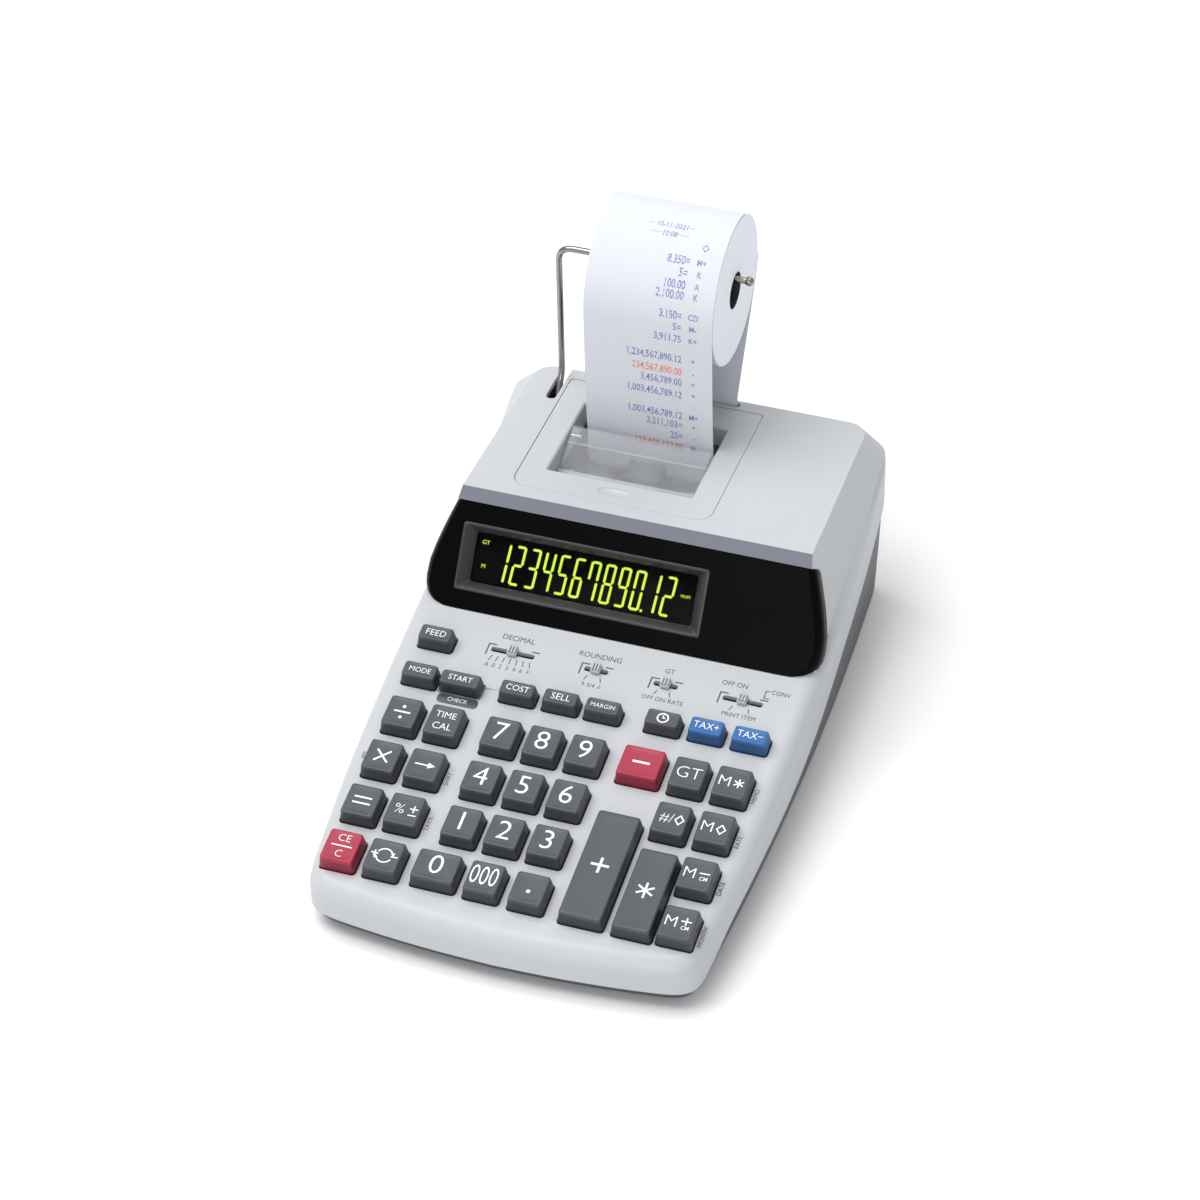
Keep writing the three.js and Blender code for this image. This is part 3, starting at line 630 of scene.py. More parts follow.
class CALC_colours(bpy.types.PropertyGroup):
    """Colours of the calculator's mouldings, inks and paper."""

    case: colour_setting("Case", "Light grey top case, cover and knobs", (0.515, 0.528, 0.545))
    base: colour_setting("Base", "Dark grey bottom case", (0.066, 0.070, 0.076))
    strip: colour_setting("Strip", "Grey band over the display panel", (0.175, 0.185, 0.22))
    panel: colour_setting("Panel", "Gloss black display panel", (0.0025, 0.0025, 0.003))
    bezel: colour_setting("Bezel", "Dark grey frame round the display", (0.035, 0.036, 0.04))
    digits: colour_setting("Digits", "Display segments", (0.58, 0.80, 0.03))
    key: colour_setting("Keys", "Dark grey key caps", (0.056, 0.063, 0.071))
    red_key: colour_setting("Red keys", "Minus and clear key caps", (0.36, 0.010, 0.042))
    blue_key: colour_setting("Blue keys", "Tax key caps", (0.016, 0.118, 0.34))
    legend: colour_setting("Legends", "White key legends", (0.86, 0.87, 0.88))
    label: colour_setting("Labels", "Dark printing on the deck", (0.045, 0.047, 0.055))
    paper: colour_setting("Paper", "Paper roll", (0.68, 0.70, 0.745))
    ink: colour_setting("Ink", "Violet printing on the tape", (0.10, 0.09, 0.42))
    red_ink: colour_setting("Red ink", "Red printing on the tape", (0.80, 0.09, 0.03))


class CALC_sizes(bpy.types.PropertyGroup):
    """Sizes of the fine shapes."""

    edge_radius: FloatProperty(name="Edge radius", description="Rounding of the deck's rim", unit="LENGTH",
                               default=0.007, min=0.004, max=0.0075)
    key_dish: FloatProperty(name="Key dish", description="How deep the key tops are dished",
                            unit="LENGTH", default=0.00035, min=0, max=0.0006)
    key_edge: FloatProperty(name="Key edge", description="Rounding of the key caps' top edge",
                            unit="LENGTH", default=0.0007, min=0.0003, max=0.0012)
    digit_height: FloatProperty(name="Digit height", description="Height of the display digits",
                                unit="LENGTH", default=0.0174, min=0.012, max=0.018)
    digit_glow: FloatProperty(name="Digit glow", description="Brightness of the display digits",
                              default=1.0, min=0, max=5)
    reading: StringProperty(name="Reading", description="Number on the display", default="1234567890.12")


def colours():
    """The scene's colour settings."""
    return bpy.context.scene.calculator_colours


def sizes():
    """The scene's size settings."""
    return bpy.context.scene.calculator_sizes


_made = {}  # finishes already built, by name


def finish(name):
    """One of the calculator's finishes, made when it is first asked for."""
    c = colours()
    recipes = {
        "light": lambda: moulded("light case plastic", c.case),
        "dark": lambda: moulded("dark base plastic", c.base, 0.5, 0.00002, 0.07),
        "strip": lambda: moulded("grey band", c.strip, 0.4),
        "black": lambda: gloss_black("gloss black panel", c.panel),
        "bezel": lambda: moulded("display frame plastic", c.bezel, 0.34),
        "plate": lambda: gloss_black("display glass black", tone(c.panel, 0.6)),
        "lcd": lambda: lit("display segments", c.digits, sizes().digit_glow),
        "key": lambda: key_plastic("grey key plastic", c.key),
        "red": lambda: key_plastic("red key plastic", c.red_key),
        "blue": lambda: key_plastic("blue key plastic", c.blue_key),
        # Darker copies of the key colours for the cap sides: painted shade on the sides.
        "key side": lambda: key_plastic("grey key sides in painted shade", tone(c.key, 0.55)),
        "red side": lambda: key_plastic("red key sides in painted shade", tone(c.red_key, 0.6)),
        "blue side": lambda: key_plastic("blue key sides in painted shade", tone(c.blue_key, 0.6)),
        "legend": lambda: printed("white legend", c.legend, 0.45, 0.05),
        "label": lambda: printed("deck printing", c.label, 0.5, 0.04),
        "knob": lambda: moulded("slide knob plastic", c.case, 0.36),
        "chrome": lambda: plated("plated wire", (0.34, 0.31, 0.29)),
        "paper": lambda: paper_stock("paper", c.paper),
        # The roll's ends take the paper colour made a third lighter: painted light on the end faces.
        "edges": lambda: paper_edges("roll end painted lighter", tone(c.paper, 1.34)),
        "ink": lambda: printed("violet ink", c.ink, 0.7, 0.45),
        "red_ink": lambda: printed("red ink", c.red_ink, 0.7, 0.45),
        "clear": lambda: clear_plastic("clear tear bar", (0.70, 0.72, 0.76), 0.16),
        # The bead is a clear lip; its paler, more opaque finish is a painted highlight along it.
        "bead_painted_highlight": lambda: clear_plastic("tear bar bead", (0.62, 0.63, 0.66), 0.55),
        "glass": lambda: clear_plastic("display cover", (0.01, 0.012, 0.014), 0.02),
        "works": lambda: moulded("printer works plastic", (0.035, 0.037, 0.042), 0.5),
        "frame": lambda: moulded("ink roller plastic", (0.44, 0.45, 0.49), 0.42),
        "roller": lambda: soft_rubber("ink and feed rollers", (0.20, 0.21, 0.24)),
        "rubber": lambda: soft_rubber("black rubber", (0.022, 0.022, 0.024)),
        "board": lambda: circuit("circuit board", (0.02, 0.12, 0.05)),
        "steel": lambda: plated("screw steel", (0.45, 0.45, 0.46)),
    }
    if name not in _made:
        _made[name] = recipes[name]()
    return _made[name]


# ---- case -------------------------------------------------------------------
def side_x(y):
    """Half width of the case at y."""
    return 90 - 5 * ((y - 95) / 130) ** 2


def half_plan():
    """The right half of the case's outline, front middle to rear middle, rounded."""
    pts = [(x, FRONT_Y + 4.8 * (x / 67) ** 2) for x in (0, 24, 46, 62, 73)]
    pts += [(79, -49), (82.6, -45), (84.3, -39)]
    pts += [(side_x(y), y) for y in (-10, 20, 60, 95, 123, 142, 168, 186, 205)]
    pts += [(85.6, 218.5), (83.7, 224.8), (78.4, 228), (50, 228.4), (22, 228.9), (0, REAR_Y)]
    for _ in range(2):
        cut = [pts[0]]
        for a, b in zip(pts, pts[1:]):
            cut.append((a[0] * 0.75 + b[0] * 0.25, a[1] * 0.75 + b[1] * 0.25))
            cut.append((a[0] * 0.25 + b[0] * 0.75, a[1] * 0.25 + b[1] * 0.75))
        pts = cut + [pts[-1]]
    return pts


PLAN = half_plan()


def plan_ring(inset):
    """The whole outline, drawn in by an inset."""
    ring = PLAN + [(-x, y) for x, y in PLAN[-2:0:-1]]
    n = len(ring)
    out = []
    for i, (x, y) in enumerate(ring):
        a, b = ring[i - 1], ring[(i + 1) % n]
        length = math.hypot(b[0] - a[0], b[1] - a[1])
        out.append((x - (b[1] - a[1]) / length * inset, y + (b[0] - a[0]) / length * inset))
    return out


def deck_body(inset, drop, steps=8):
    """The low body under the keys and rails, its rim rounded."""
    r = sizes().edge_radius * 1000 - inset
    rings = [[(x, y, parting_z(y) - drop) for x, y in plan_ring(inset)]]
    for k in range(steps + 1):
        a = math.radians(90 * k / steps)
        ring = plan_ring(inset + r * (1 - math.cos(a)))
        rings.append([(x, y, edge_z(y) - inset - r * (1 - math.sin(a))) for x, y in ring])
    return loft(rings, "strips")


def house_body(inset, foot):
    """The display and printer housing, its side walls drawn in towards the top."""
    slope = (TOP_FRONT[0] - FOOT_FRONT[0]) / (TOP_FRONT[1] - FOOT_FRONT[1])
    back = (PANEL_T + GAP + inset) / math.sin(PANEL_ANGLE) if inset else 0

    def front(z):
        return FOOT_FRONT[0] + (z - FOOT_FRONT[1]) * slope + back

    def ring(height, half, y0):
        rear = TOP_REAR[0] - inset
        right = [(half * k, y0) for k in (0, 0.5, 1)]
        h1 = half + HALF_REAR - HALF_TOP
        for k in range(1, 12):
            t = k / 12
            right.append((half + (h1 - half) * t, y0 + (rear - 9 - y0) * t))
        right += arc(h1 - 9, rear - 9, 9, 0, 90, 6)
        right += [(h1 * 0.5, rear), (0, rear)]
        return [(x, y, height(y)) for x, y in right + [(-x, y) for x, y in right[-2:0:-1]]]

    low = ring(lambda y: edge_z(y) - foot, HALF_FOOT - inset, front(deck_z(FOOT_FRONT[0]) - foot))
    high = ring(lambda y: top_z(y) - inset, HALF_TOP - inset, front(top_z(TOP_FRONT[0] + back) - inset))
    return loft([low, high], "strips")


def panel_slab(x0, x1, v0, v1, h0, h1, r=0.3):
    """A block in the display panel's frame."""
    return slab(x0, x1, v0, v1, h0, h1, r).moved(PANEL)


SMALL = 6.4
COL = (-78.6, -60.1, -35.3, -16.85, 1.6, 24.0, 46.3, 64.75)
ROW = {2: 30.5, 3: 6.3, 4: -17.8, 5: -42.0}
KEY_W, KEY_D = 13.4, 14.8
KEYS = {
    "feed": (COL[0] - 0.7, 78.5, KEY_W, 7, "key"), "mode": (COL[0] - 0.7, 57.6, 13.8, 7, "key"),
    "start": (-62.5, 57.8, 16.4, SMALL, "key"), "cost": (COL[2] - 1.1, 59, 14, SMALL, "key"),
    "sell": (COL[3] - 0.6, 59.2, 14, SMALL, "key"), "margin": (COL[4] - 0.6, 59.2, 14, SMALL, "key"),
    "clock": (27.2, 59.4, 13.6, 7, "key"), "tax_plus": (COL[6] - 0.3, 59.8, 13.4, 7.2, "blue"),
    "tax_minus": (COL[7] - 0.1, 59.8, 13.8, 7.2, "blue"),
    "divide": (COL[0], ROW[2], KEY_W, KEY_D, "key"), "time": (COL[1], ROW[2], KEY_W, KEY_D, "key"),
    "7": (COL[2], ROW[2], KEY_W, KEY_D, "key"), "8": (COL[3], ROW[2], KEY_W, KEY_D, "key"),
    "9": (COL[4], ROW[2], KEY_W, KEY_D, "key"), "minus": (COL[5], ROW[2] + 0.4, 16.8, KEY_D, "red"),
    "grand_total": (COL[6], ROW[2], KEY_W, KEY_D, "key"),
    "memory_total": (COL[7], ROW[2], KEY_W, KEY_D, "key"),
    "multiply": (COL[0], ROW[3], KEY_W, KEY_D, "key"), "shift": (COL[1], ROW[3], KEY_W, KEY_D, "key"),
    "4": (COL[2], ROW[3], KEY_W, KEY_D, "key"), "5": (COL[3], ROW[3], KEY_W, KEY_D, "key"),
    "6": (COL[4], ROW[3], KEY_W, KEY_D, "key"), "non_add": (COL[6], ROW[3], KEY_W, KEY_D, "key"),
    "memory_subtotal": (COL[7], ROW[3], KEY_W, KEY_D, "key"),
    "equals": (COL[0], ROW[4], KEY_W, KEY_D, "key"), "percent": (COL[1], ROW[4], KEY_W, KEY_D, "key"),
    "1": (COL[2], ROW[4], KEY_W, KEY_D, "key"), "2": (COL[3], ROW[4], KEY_W, KEY_D, "key"),
    "3": (COL[4], ROW[4], KEY_W, KEY_D, "key"),
    "memory_minus": (COL[7], ROW[4], KEY_W, KEY_D, "key"),
    "clear": (COL[0], ROW[5], KEY_W, KEY_D, "red"), "sign": (COL[1], ROW[5], KEY_W, KEY_D, "key"),
    "0": (-39.9, ROW[5] + 1, 17.4, 13.9, "key"), "000": (COL[3] - 0.4, ROW[5] + 0.5, KEY_W, 14.3, "key"),
    "point": (COL[4] + 0.4, ROW[5], KEY_W, 14.4, "key"),
    "plus": (COL[5] - 0.2, -42.8, 17.2, 53.2, "key"), "total": (COL[6], -43.2, 15, 39.6, "key"),
    "memory_plus": (COL[7], ROW[5] - 0.6, KEY_W, KEY_D, "key"),
}
SWITCHES = {"decimal": (-39.7, 8.0), "rounding": (-2.6, 3.6),
            "grand_total": (28.0, 3.6), "print": (61.6, 7.0)}
SWITCH_Y = 84.8
KNOB_STEM = (2.6, 1.8)


def key_well(x, y, w, d):
    """The hole for a key, with a softened lip."""
    out = 1.3
    cx, cy = x + w / 2, y + d / 2

    def ring(extra, h):
        grow = 2 * (out + extra)
        return [(*p, h) for p in rounded(w + grow, d + grow, 1.6 + extra, 3, cx, cy)]

    return loft([ring(0, -UNDER_DECK - 3), ring(0, SKIN - 0.45), ring(0.12, SKIN - 0.15),
                 ring(0.45, SKIN + 0.02), ring(0.45, 3)]).moved(DECK)


def build_shell():
    """The top case: deck, rails and housing, with every opening cut."""
    pocket = panel_slab(-100, 100, -30, PANEL_TOP_V + GAP, -PANEL_T - GAP, 30)
    house = combine(bevelled(house_body(0, WALL - 0.4), 1.3, 4), pocket, "DIFFERENCE")
    body = combine(house, deck_body(0, 0), "UNION")
    hollow = combine(deck_body(WALL, 6, 3), house_body(WALL, WALL + 4), "UNION")
    body = combine(body, hollow, "DIFFERENCE")
    cover_rear = COVER[3]
    cuts = [
        panel_slab(WINDOW[0] + 1.2, WINDOW[1] - 1.2, WINDOW[2] + 1, WINDOW[3] - 1, -12, 4),
        cover_outline(GAP - 0.12, -8, 8),
        slab(PAPER_X0 - 1.5, PAPER_X1 + 1.5, cover_rear + 2.2, cover_rear + 5.2, 66, 90, 1.4, 5),
        slab(ARM_X - WIRE_R - 0.5, ARM_X + WIRE_R + 0.5, 203, REAR_Y + 6, 46.5, 90, 2.2, 5),
    ]
    cuts += [key_well(x, y, w, d) for x, y, w, d, _ in KEYS.values()]
    for x, travel in SWITCHES.values():
        half = travel + KNOB_STEM[0] / 2 + 0.4
        deep = KNOB_STEM[1] / 2 + 0.4
        slit = slab(x - half, x + half, SWITCH_Y - deep, SWITCH_Y + deep, -UNDER_DECK - 3, 3, 1.0)
        cuts.append(slit.moved(DECK))
    body = combine(body, together(cuts), "DIFFERENCE")
    body.paint = [int(b) for b in band_faces(body)]
    make("case_shell", body, [finish("light"), finish("strip")], "case", ["top_case"], "light",
         angle=28, weighted=True)


def band_faces(body):
    """Which faces lie on the housing's sloping front above the panel."""
    inverse = np.array(PANEL.inverted())
    local = body.points @ inverse[:3, :3].T + inverse[:3, 3]
    out = []
    for f in body.faces:
        p = local[list(f)]
        out.append(bool(abs(p[:, 2]).max() < 0.3 and p[:, 1].min() > PANEL_TOP_V - 0.5))
    return out


def build_base():
    """The bottom case: a drafted tray with screw wells, vents, a small door and the mains inlet."""
    def tray(inset, floor, rise):
        def ring(off, height):
            return [(x, y, height(y)) for x, y in plan_ring(off + inset)]

        r = 1.6
        return loft([
            ring(2.8 + r, lambda y: floor),
            ring(2.8 + r * 0.3, lambda y: floor + r * 0.3),
            ring(2.8, lambda y: min(floor + r, parting_z(y) - 2.5)),
            ring(1.7, lambda y: (floor + r + parting_z(y)) / 2),
            ring(0.8, lambda y: parting_z(y) - GAP + rise),
        ], "strips")

    body = combine(tray(0, FLOOR, 0), tray(WALL, FLOOR + WALL, 8), "DIFFERENCE")
    well = turned(((-1, 4.2), (1.2, 4.2), (1.5, 3.9)), 32)
    cuts = [well.moved(Matrix.Translation((x, y, FLOOR)) @ UPRIGHT) for x, y in SCREWS]
    cuts += [slab(-32 + k * 8, -28.5 + k * 8, 150, 178, FLOOR - 2, FLOOR + 6, 1.6, 4) for k in range(9)]
    door = [slab(-18, 18, 62, 92, FLOOR - 1, FLOOR + 0.5, 2, 4),
            slab(-17.4, 17.4, 62.6, 91.4, FLOOR - 2, FLOOR + 1, 1.6, 4)]
    cuts.append(combine(door[0], door[1], "DIFFERENCE"))
    boss = slab(INLET_X - 10.5, INLET_X + 10.5, 216.5, 226.6, INLET_Z - 7.5, INLET_Z + 7.5)
    bore = turned(((0, 4.2), (14, 4.2)), 32)
    recess = combine(bore, bore.moved(Matrix.Translation((0, 5.8, 0))), "UNION")
    body = combine(body, boss, "UNION")
    cuts.append(recess.moved(Matrix.Translation((INLET_X + 2.9, INLET_Y, INLET_Z)) @ BACKWARD))
    body = combine(body, together(cuts), "DIFFERENCE")
    for side in (-2.6, 2.6):
        pin = turned(((0, 1.15), (6.2, 1.15), (6.8, 0.7)), 20).moved(
            Matrix.Translation((INLET_X + side, 219.2, INLET_Z)) @ BACKWARD)
        make("inlet_pin_" + ("left" if side < 0 else "right"), pin, [finish("steel")], "case")
    make("case_base", body, [finish("dark")], "case", ["bottom_case"], "dark", angle=30, weighted=True)


def build_feet():
    """Four rubber feet and the case screws."""
    pad = turned(((0, 6.4), (0.25, 7.1), (0.8, 7.4), (2.2, 7.7), (2.7, 8.0)), 40)
    for name, x, y in FEET:
        shape = pad.moved(Matrix.Translation((x, y, GROUND)) @ UPRIGHT)
        make("pad_" + name, shape, [finish("rubber")], "case", ["foot_" + name], "rubber")
    head = turned(((-0.2, 2.2), (0.1, 2.7), (0.7, 2.9), (1.4, 2.9)), 28)
    cross = combine(slab(-0.35, 0.35, -1.6, 1.6, -2, 0.7, 0.05),
                    slab(-1.6, 1.6, -0.35, 0.35, -2, 0.7, 0.05), "UNION")
    heads = []
    for x, y in SCREWS:
        place = Matrix.Translation((x, y, FLOOR))
        heads.append(combine(head.moved(place @ UPRIGHT), cross.moved(place), "DIFFERENCE"))
    make("case_screws", together(heads), [finish("steel")], "case")


# ---- display ----------------------------------------------------------------
FACE = ((0, 0), (60, 0), (72, 0), (77.5, 0.5), (81.3, 2.3), (83.8, 5), (85, 8.5), (85.3, 12), (85, 18),
        (83.4, 25.5), (81.2, 33), (79.2, 40), (77.2, PANEL_TOP_V))
SKIRT = ((0, 0), (60, 0), (73, 0), (79.4, 0.4), (84, 2.2), (86.7, 5), (87.8, 8.5), (88.2, 12), (87.8, 19),
         (86.2, 26), (84.4, 32.5), (82, 39.8), (79.6, PANEL_TOP_V))


def build_panel():
    """The gloss black panel with its side returns, and the sloping frame round the display."""
    def ring(h, k, off):
        right = [(x + (sx - x) * k - (off if x else 0), v + (sv - v) * k + (off if v < 4 else 0), h)
                 for (x, v), (sx, sv) in zip(FACE, SKIRT)]
        return right + [(-x, v, z) for x, v, z in right[-1:0:-1]]

    levels = ((-10, 1, 0), (-6, 1, 0), (-4, 0.88, 0), (-2.4, 0.62, 0), (-1.2, 0.3, 0),
              (-0.55, 0.08, 0.05), (-0.15, 0, 0.3), (0, 0, 0.75))
    body = loft([ring(*level) for level in levels])
    house = house_body(-GAP, WALL - 0.4).moved(PANEL.inverted())
    behind = combine(house, slab(-100, 100, -30, 80, -60, -PANEL_T), "INTERSECT")
    body = combine(body, behind, "DIFFERENCE")
    hole = loft(panel_rings(((-PANEL_T - 1, 4.5, 3.2), (1, 0.4, 0.4))))
    body = combine(body, hole, "DIFFERENCE").moved(PANEL)
    body = combine(body, deck_body(-GAP, 0), "DIFFERENCE")
    make("panel_face", body, [finish("black")], "case", ["display_panel"], "black", angle=28, weighted=True)

    rings = panel_rings(((-3.2, 0.5, 0.5), (-0.1, 0.5, 0.5), (0.25, 0.65, 0.65), (0.4, 1.0, 1.0),
                         (0.4, 1.5, 1.5), (0.2, 1.8, 1.75), (-4.0, 5.9, 4.3), (-4.25, 6.0, 4.4)))
    make("panel_frame", loft(rings, loop=True).moved(PANEL), [finish("bezel")], "case", slot="black",
         angle=30)


def panel_rings(levels):
    """Rounded rings round the window at (height, inset in x, inset in v)."""
    x0, x1, v0, v1 = WINDOW
    out = []
    for h, ix, iv in levels:
        w, d = x1 - x0 - 2 * ix, v1 - v0 - 2 * iv
        out.append([(*p, h) for p in rounded(w, d, 1.3, 5, (x0 + x1) / 2, (v0 + v1) / 2)])
    return out


SEGMENTS = {"0": "abcdef", "1": "bc", "2": "abged", "3": "abgcd", "4": "fgbc", "5": "afgcd",
            "6": "afgedc", "7": "fabc", "8": "abcdefg", "9": "abcdfg", " ": "", "-": "g"}


def segment_shapes(digit, x, v, w, h, h0):
    """The lit bars of one digit whose lower left corner is at (x, v)."""
    t, gap, lean = 1.12, 0.16, 0.085
    m = v + h / 2
    bars = {
        "a": ((x, v + h - t / 2), (x + w, v + h - t / 2)), "g": ((x, m), (x + w, m)),
        "d": ((x, v + t / 2), (x + w, v + t / 2)),
        "f": ((x + t / 2, m), (x + t / 2, v + h)), "b": ((x + w - t / 2, m), (x + w - t / 2, v + h)),
        "e": ((x + t / 2, v), (x + t / 2, m)), "c": ((x + w - t / 2, v), (x + w - t / 2, m)),
    }
    for s in SEGMENTS[digit]:
        (xa, va), (xb, vb) = bars[s]
        if xa == xb:
            va, vb = va + gap + 0.2, vb - gap - 0.2
            pts = [(xa, va), (xa + t / 2, va + t * 0.4), (xa + t / 2, vb - t * 0.4), (xa, vb),
                   (xa - t / 2, vb - t * 0.4), (xa - t / 2, va + t * 0.4)]
        else:
            xa, xb = xa + gap + 0.35, xb - gap - 0.35
            pts = [(xa, va), (xa + t * 0.4, va - t / 2), (xb - t * 0.4, va - t / 2), (xb, va),
                   (xb - t * 0.4, va + t / 2), (xa + t * 0.4, va + t / 2)]
        pts = [(px + (pv - v) * lean, pv) for px, pv in pts]
        yield loft([[(*p, h0 - 0.02) for p in pts], [(*p, h0 + 0.02) for p in pts]])


def build_readout():
    """The display plate, its digits and signs, and the cover over it."""
    x0, x1, v0, v1 = WINDOW
    deep = -(PANEL_T + 2 * GAP + 1)
    plate = slab(x0 + 2.4, x1 - 2.4, v0 + 1.8, v1 - 1.8, deep - 5, deep, 0.8, 3, 0.2)
    make("display_plate", plate.moved(PANEL), [finish("plate")], "case", ["lcd_module"], "lcd")
    tall = sizes().digit_height * 1000
    pitch, wide = 6.72, 4.75
    x, v, h0 = -58.8, 14.1, deep + 0.06
    bars = []
    for c in sizes().reading:
        if c == ".":
            bars.append(slab(x - 1.35, x - 0.3, v, v + 1.1, h0 - 0.02, h0 + 0.02, 0.2))
        else:
            bars += segment_shapes(c, x, v, wide, tall, h0)
            x += pitch
    bars += [lettering("GT", 2.6, -64.4, 30.0, h0), lettering("M", 2.6, -64.0, 19.8, h0),
             lettering("NUM", 1.9, 25.7, 24.2, h0)]
    make("display_digits", together(bars).moved(PANEL), [finish("lcd")], "case", slot="lcd")
    cover = slab(x0 + 3.2, x1 - 3.2, v0 + 2.4, v1 - 2.4, -PANEL_T - GAP - 1, -PANEL_T - GAP, 0.8, 3, 0.1)
    make("display_cover", cover.moved(PANEL), [finish("glass")], "case", ["display_window"], "clear")


# ---- printer cover and tear bar ---------------------------------------------
def lid_y(y):
    """Distance along the top plate from its front edge."""
    return (y - TOP_FRONT[0]) / math.cos(TOP_ANGLE)


def cover_outline(grow, z0, z1):
    """A plug of the printer cover's outline; its front corners are rounder."""
    x0, x1, y0, y1 = COVER
    x0, x1, y0, y1 = x0 - grow, x1 + grow, lid_y(y0) - grow, lid_y(y1) + grow
    pts = arc(x1 - 7, y0 + 7, 7, 270, 360, 8) + arc(x1 - 1.5, y1 - 1.5, 1.5, 0, 90, 4)
    pts += arc(x0 + 1.5, y1 - 1.5, 1.5, 90, 180, 4) + arc(x0 + 7, y0 + 7, 7, 180, 270, 8)
    return loft([[(*p, z0) for p in pts], [(*p, z1) for p in pts]]).moved(LID)


def cover_rings(levels):
    """Rings of the cover's outline at (inset, height)."""
    x0, x1, y0, y1 = COVER
    out = []
    for inset, z in levels:
        a0, a1, b0, b1 = x0 + inset, x1 - inset, lid_y(y0) + inset, lid_y(y1) - inset
        big, small = 7 - inset, 1.5 - inset * 0.5
        pts = arc(a1 - big, b0 + big, big, 270, 360, 8) + arc(a1 - small, b1 - small, small, 0, 90, 4)
        pts += arc(a0 + small, b1 - small, small, 90, 180, 4) + arc(a0 + big, b0 + big, big, 180, 270, 8)
        out.append([(*p, z) for p in pts])
    return out


def mouth_plug(grow, z0, z1, draft, front_draft):
    """The paper mouth's funnel, drawn in towards the bottom."""
    x0, x1, y0, y1 = MOUTH[0] - grow, MOUTH[1] + grow, lid_y(MOUTH[2]) - grow, lid_y(MOUTH[3]) + grow

    def ring(z):
        k = -z
        a0, a1, b0, b1 = x0 + draft * k, x1 - draft * k, y0 + front_draft * k, y1
        return [(*p, z) for p in rounded(a1 - a0, b1 - b0, 0.8 + grow, 4, (a0 + a1) / 2, (b0 + b1) / 2)]

    return loft([ring(z0), ring(z1)])


def build_cover():
    """The printer cover with its finger grip and funnel."""
    plate = loft(cover_rings(((0.1, -WALL), (0, -WALL + 0.2), (0, -0.5), (0.15, -0.15), (0.5, 0))))
    skirt = mouth_plug(1.4, -9.5, -0.6, 0.1, 0.62)
    body = combine(plate, skirt, "UNION")
    body = combine(body, mouth_plug(0, -14, 3, 0.1, 0.62), "DIFFERENCE")
    w, d = MOUTH[1] - MOUTH[0], lid_y(MOUTH[3]) - lid_y(MOUTH[2])
    cx, cy = (MOUTH[0] + MOUTH[1]) / 2, (lid_y(MOUTH[2]) + lid_y(MOUTH[3])) / 2
    lip = [[(*p, z) for p in rounded(w + 2 * g, d + 2 * g, 1.2, 4, cx, cy)]
           for g, z in ((-0.6, -1.2), (0.0, -0.6), (0.6, 0.0), (1.2, 0.8))]
    body = combine(body, loft(lip), "DIFFERENCE")
    grip = []
    for k, z in ((0.2, -1.1), (0.7, -0.9), (0.95, -0.4), (1.0, 0.0), (1.05, 0.8)):
        grip.append([(-14.5 + 7.5 * k * math.cos(t), lid_y(146.5) + 3.0 * k * math.sin(t), z)
                     for t in np.linspace(0, 2 * math.pi, 40, endpoint=False)])
    body = combine(body, loft(grip), "DIFFERENCE").moved(LID)
    make("roll_cover", body, [finish("light")], "cover", ["printer_cover"], "light",
         angle=28, weighted=True)


def build_tear_bar():
    """The clear tear bar with its teeth and its bead."""
    (y0, z0), (y1, z1) = TEAR_FRONT, TEAR_REAR
    length = math.hypot(y1 - y0, z1 - z0)
    place = Matrix.Translation((0, y0, z0)) @ Matrix.Rotation(math.atan2(z1 - z0, y1 - y0), 4, "X")
    a, b = MOUTH[0] + 1.2, MOUTH[1] - 1.2
    teeth = 62
    top = []
    for k in range(teeth + 1):
        x = b - (b - a) * k / teeth
        top.append((x, length - 1.0))
        if k < teeth:
            top.append((x - (b - a) / teeth / 2, length))
    ring = [(a, 0.0), (b, 0.0)] + top
    bar = loft([[(x, y, -TEAR_T) for x, y in ring], [(x, y, 0) for x, y in ring]]).moved(place)
    # The bead is a real clear lip, painted with the paler, more opaque finish as a painted highlight.
    bead_painted_highlight = rod_x(a, b, y0 + 1.2, z0 - 0.2, 1.7, 28)
    ribs = slab(a, b, length * 0.62, length * 0.62 + 0.8, 0, 0.5, 0.2, 3).moved(place)
    make("tear_bar", together([bar, bead_painted_highlight.painted(1), ribs]), [finish("clear"), finish("bead_painted_highlight")],
         "cover", ["tear_window"], "clear", angle=35)


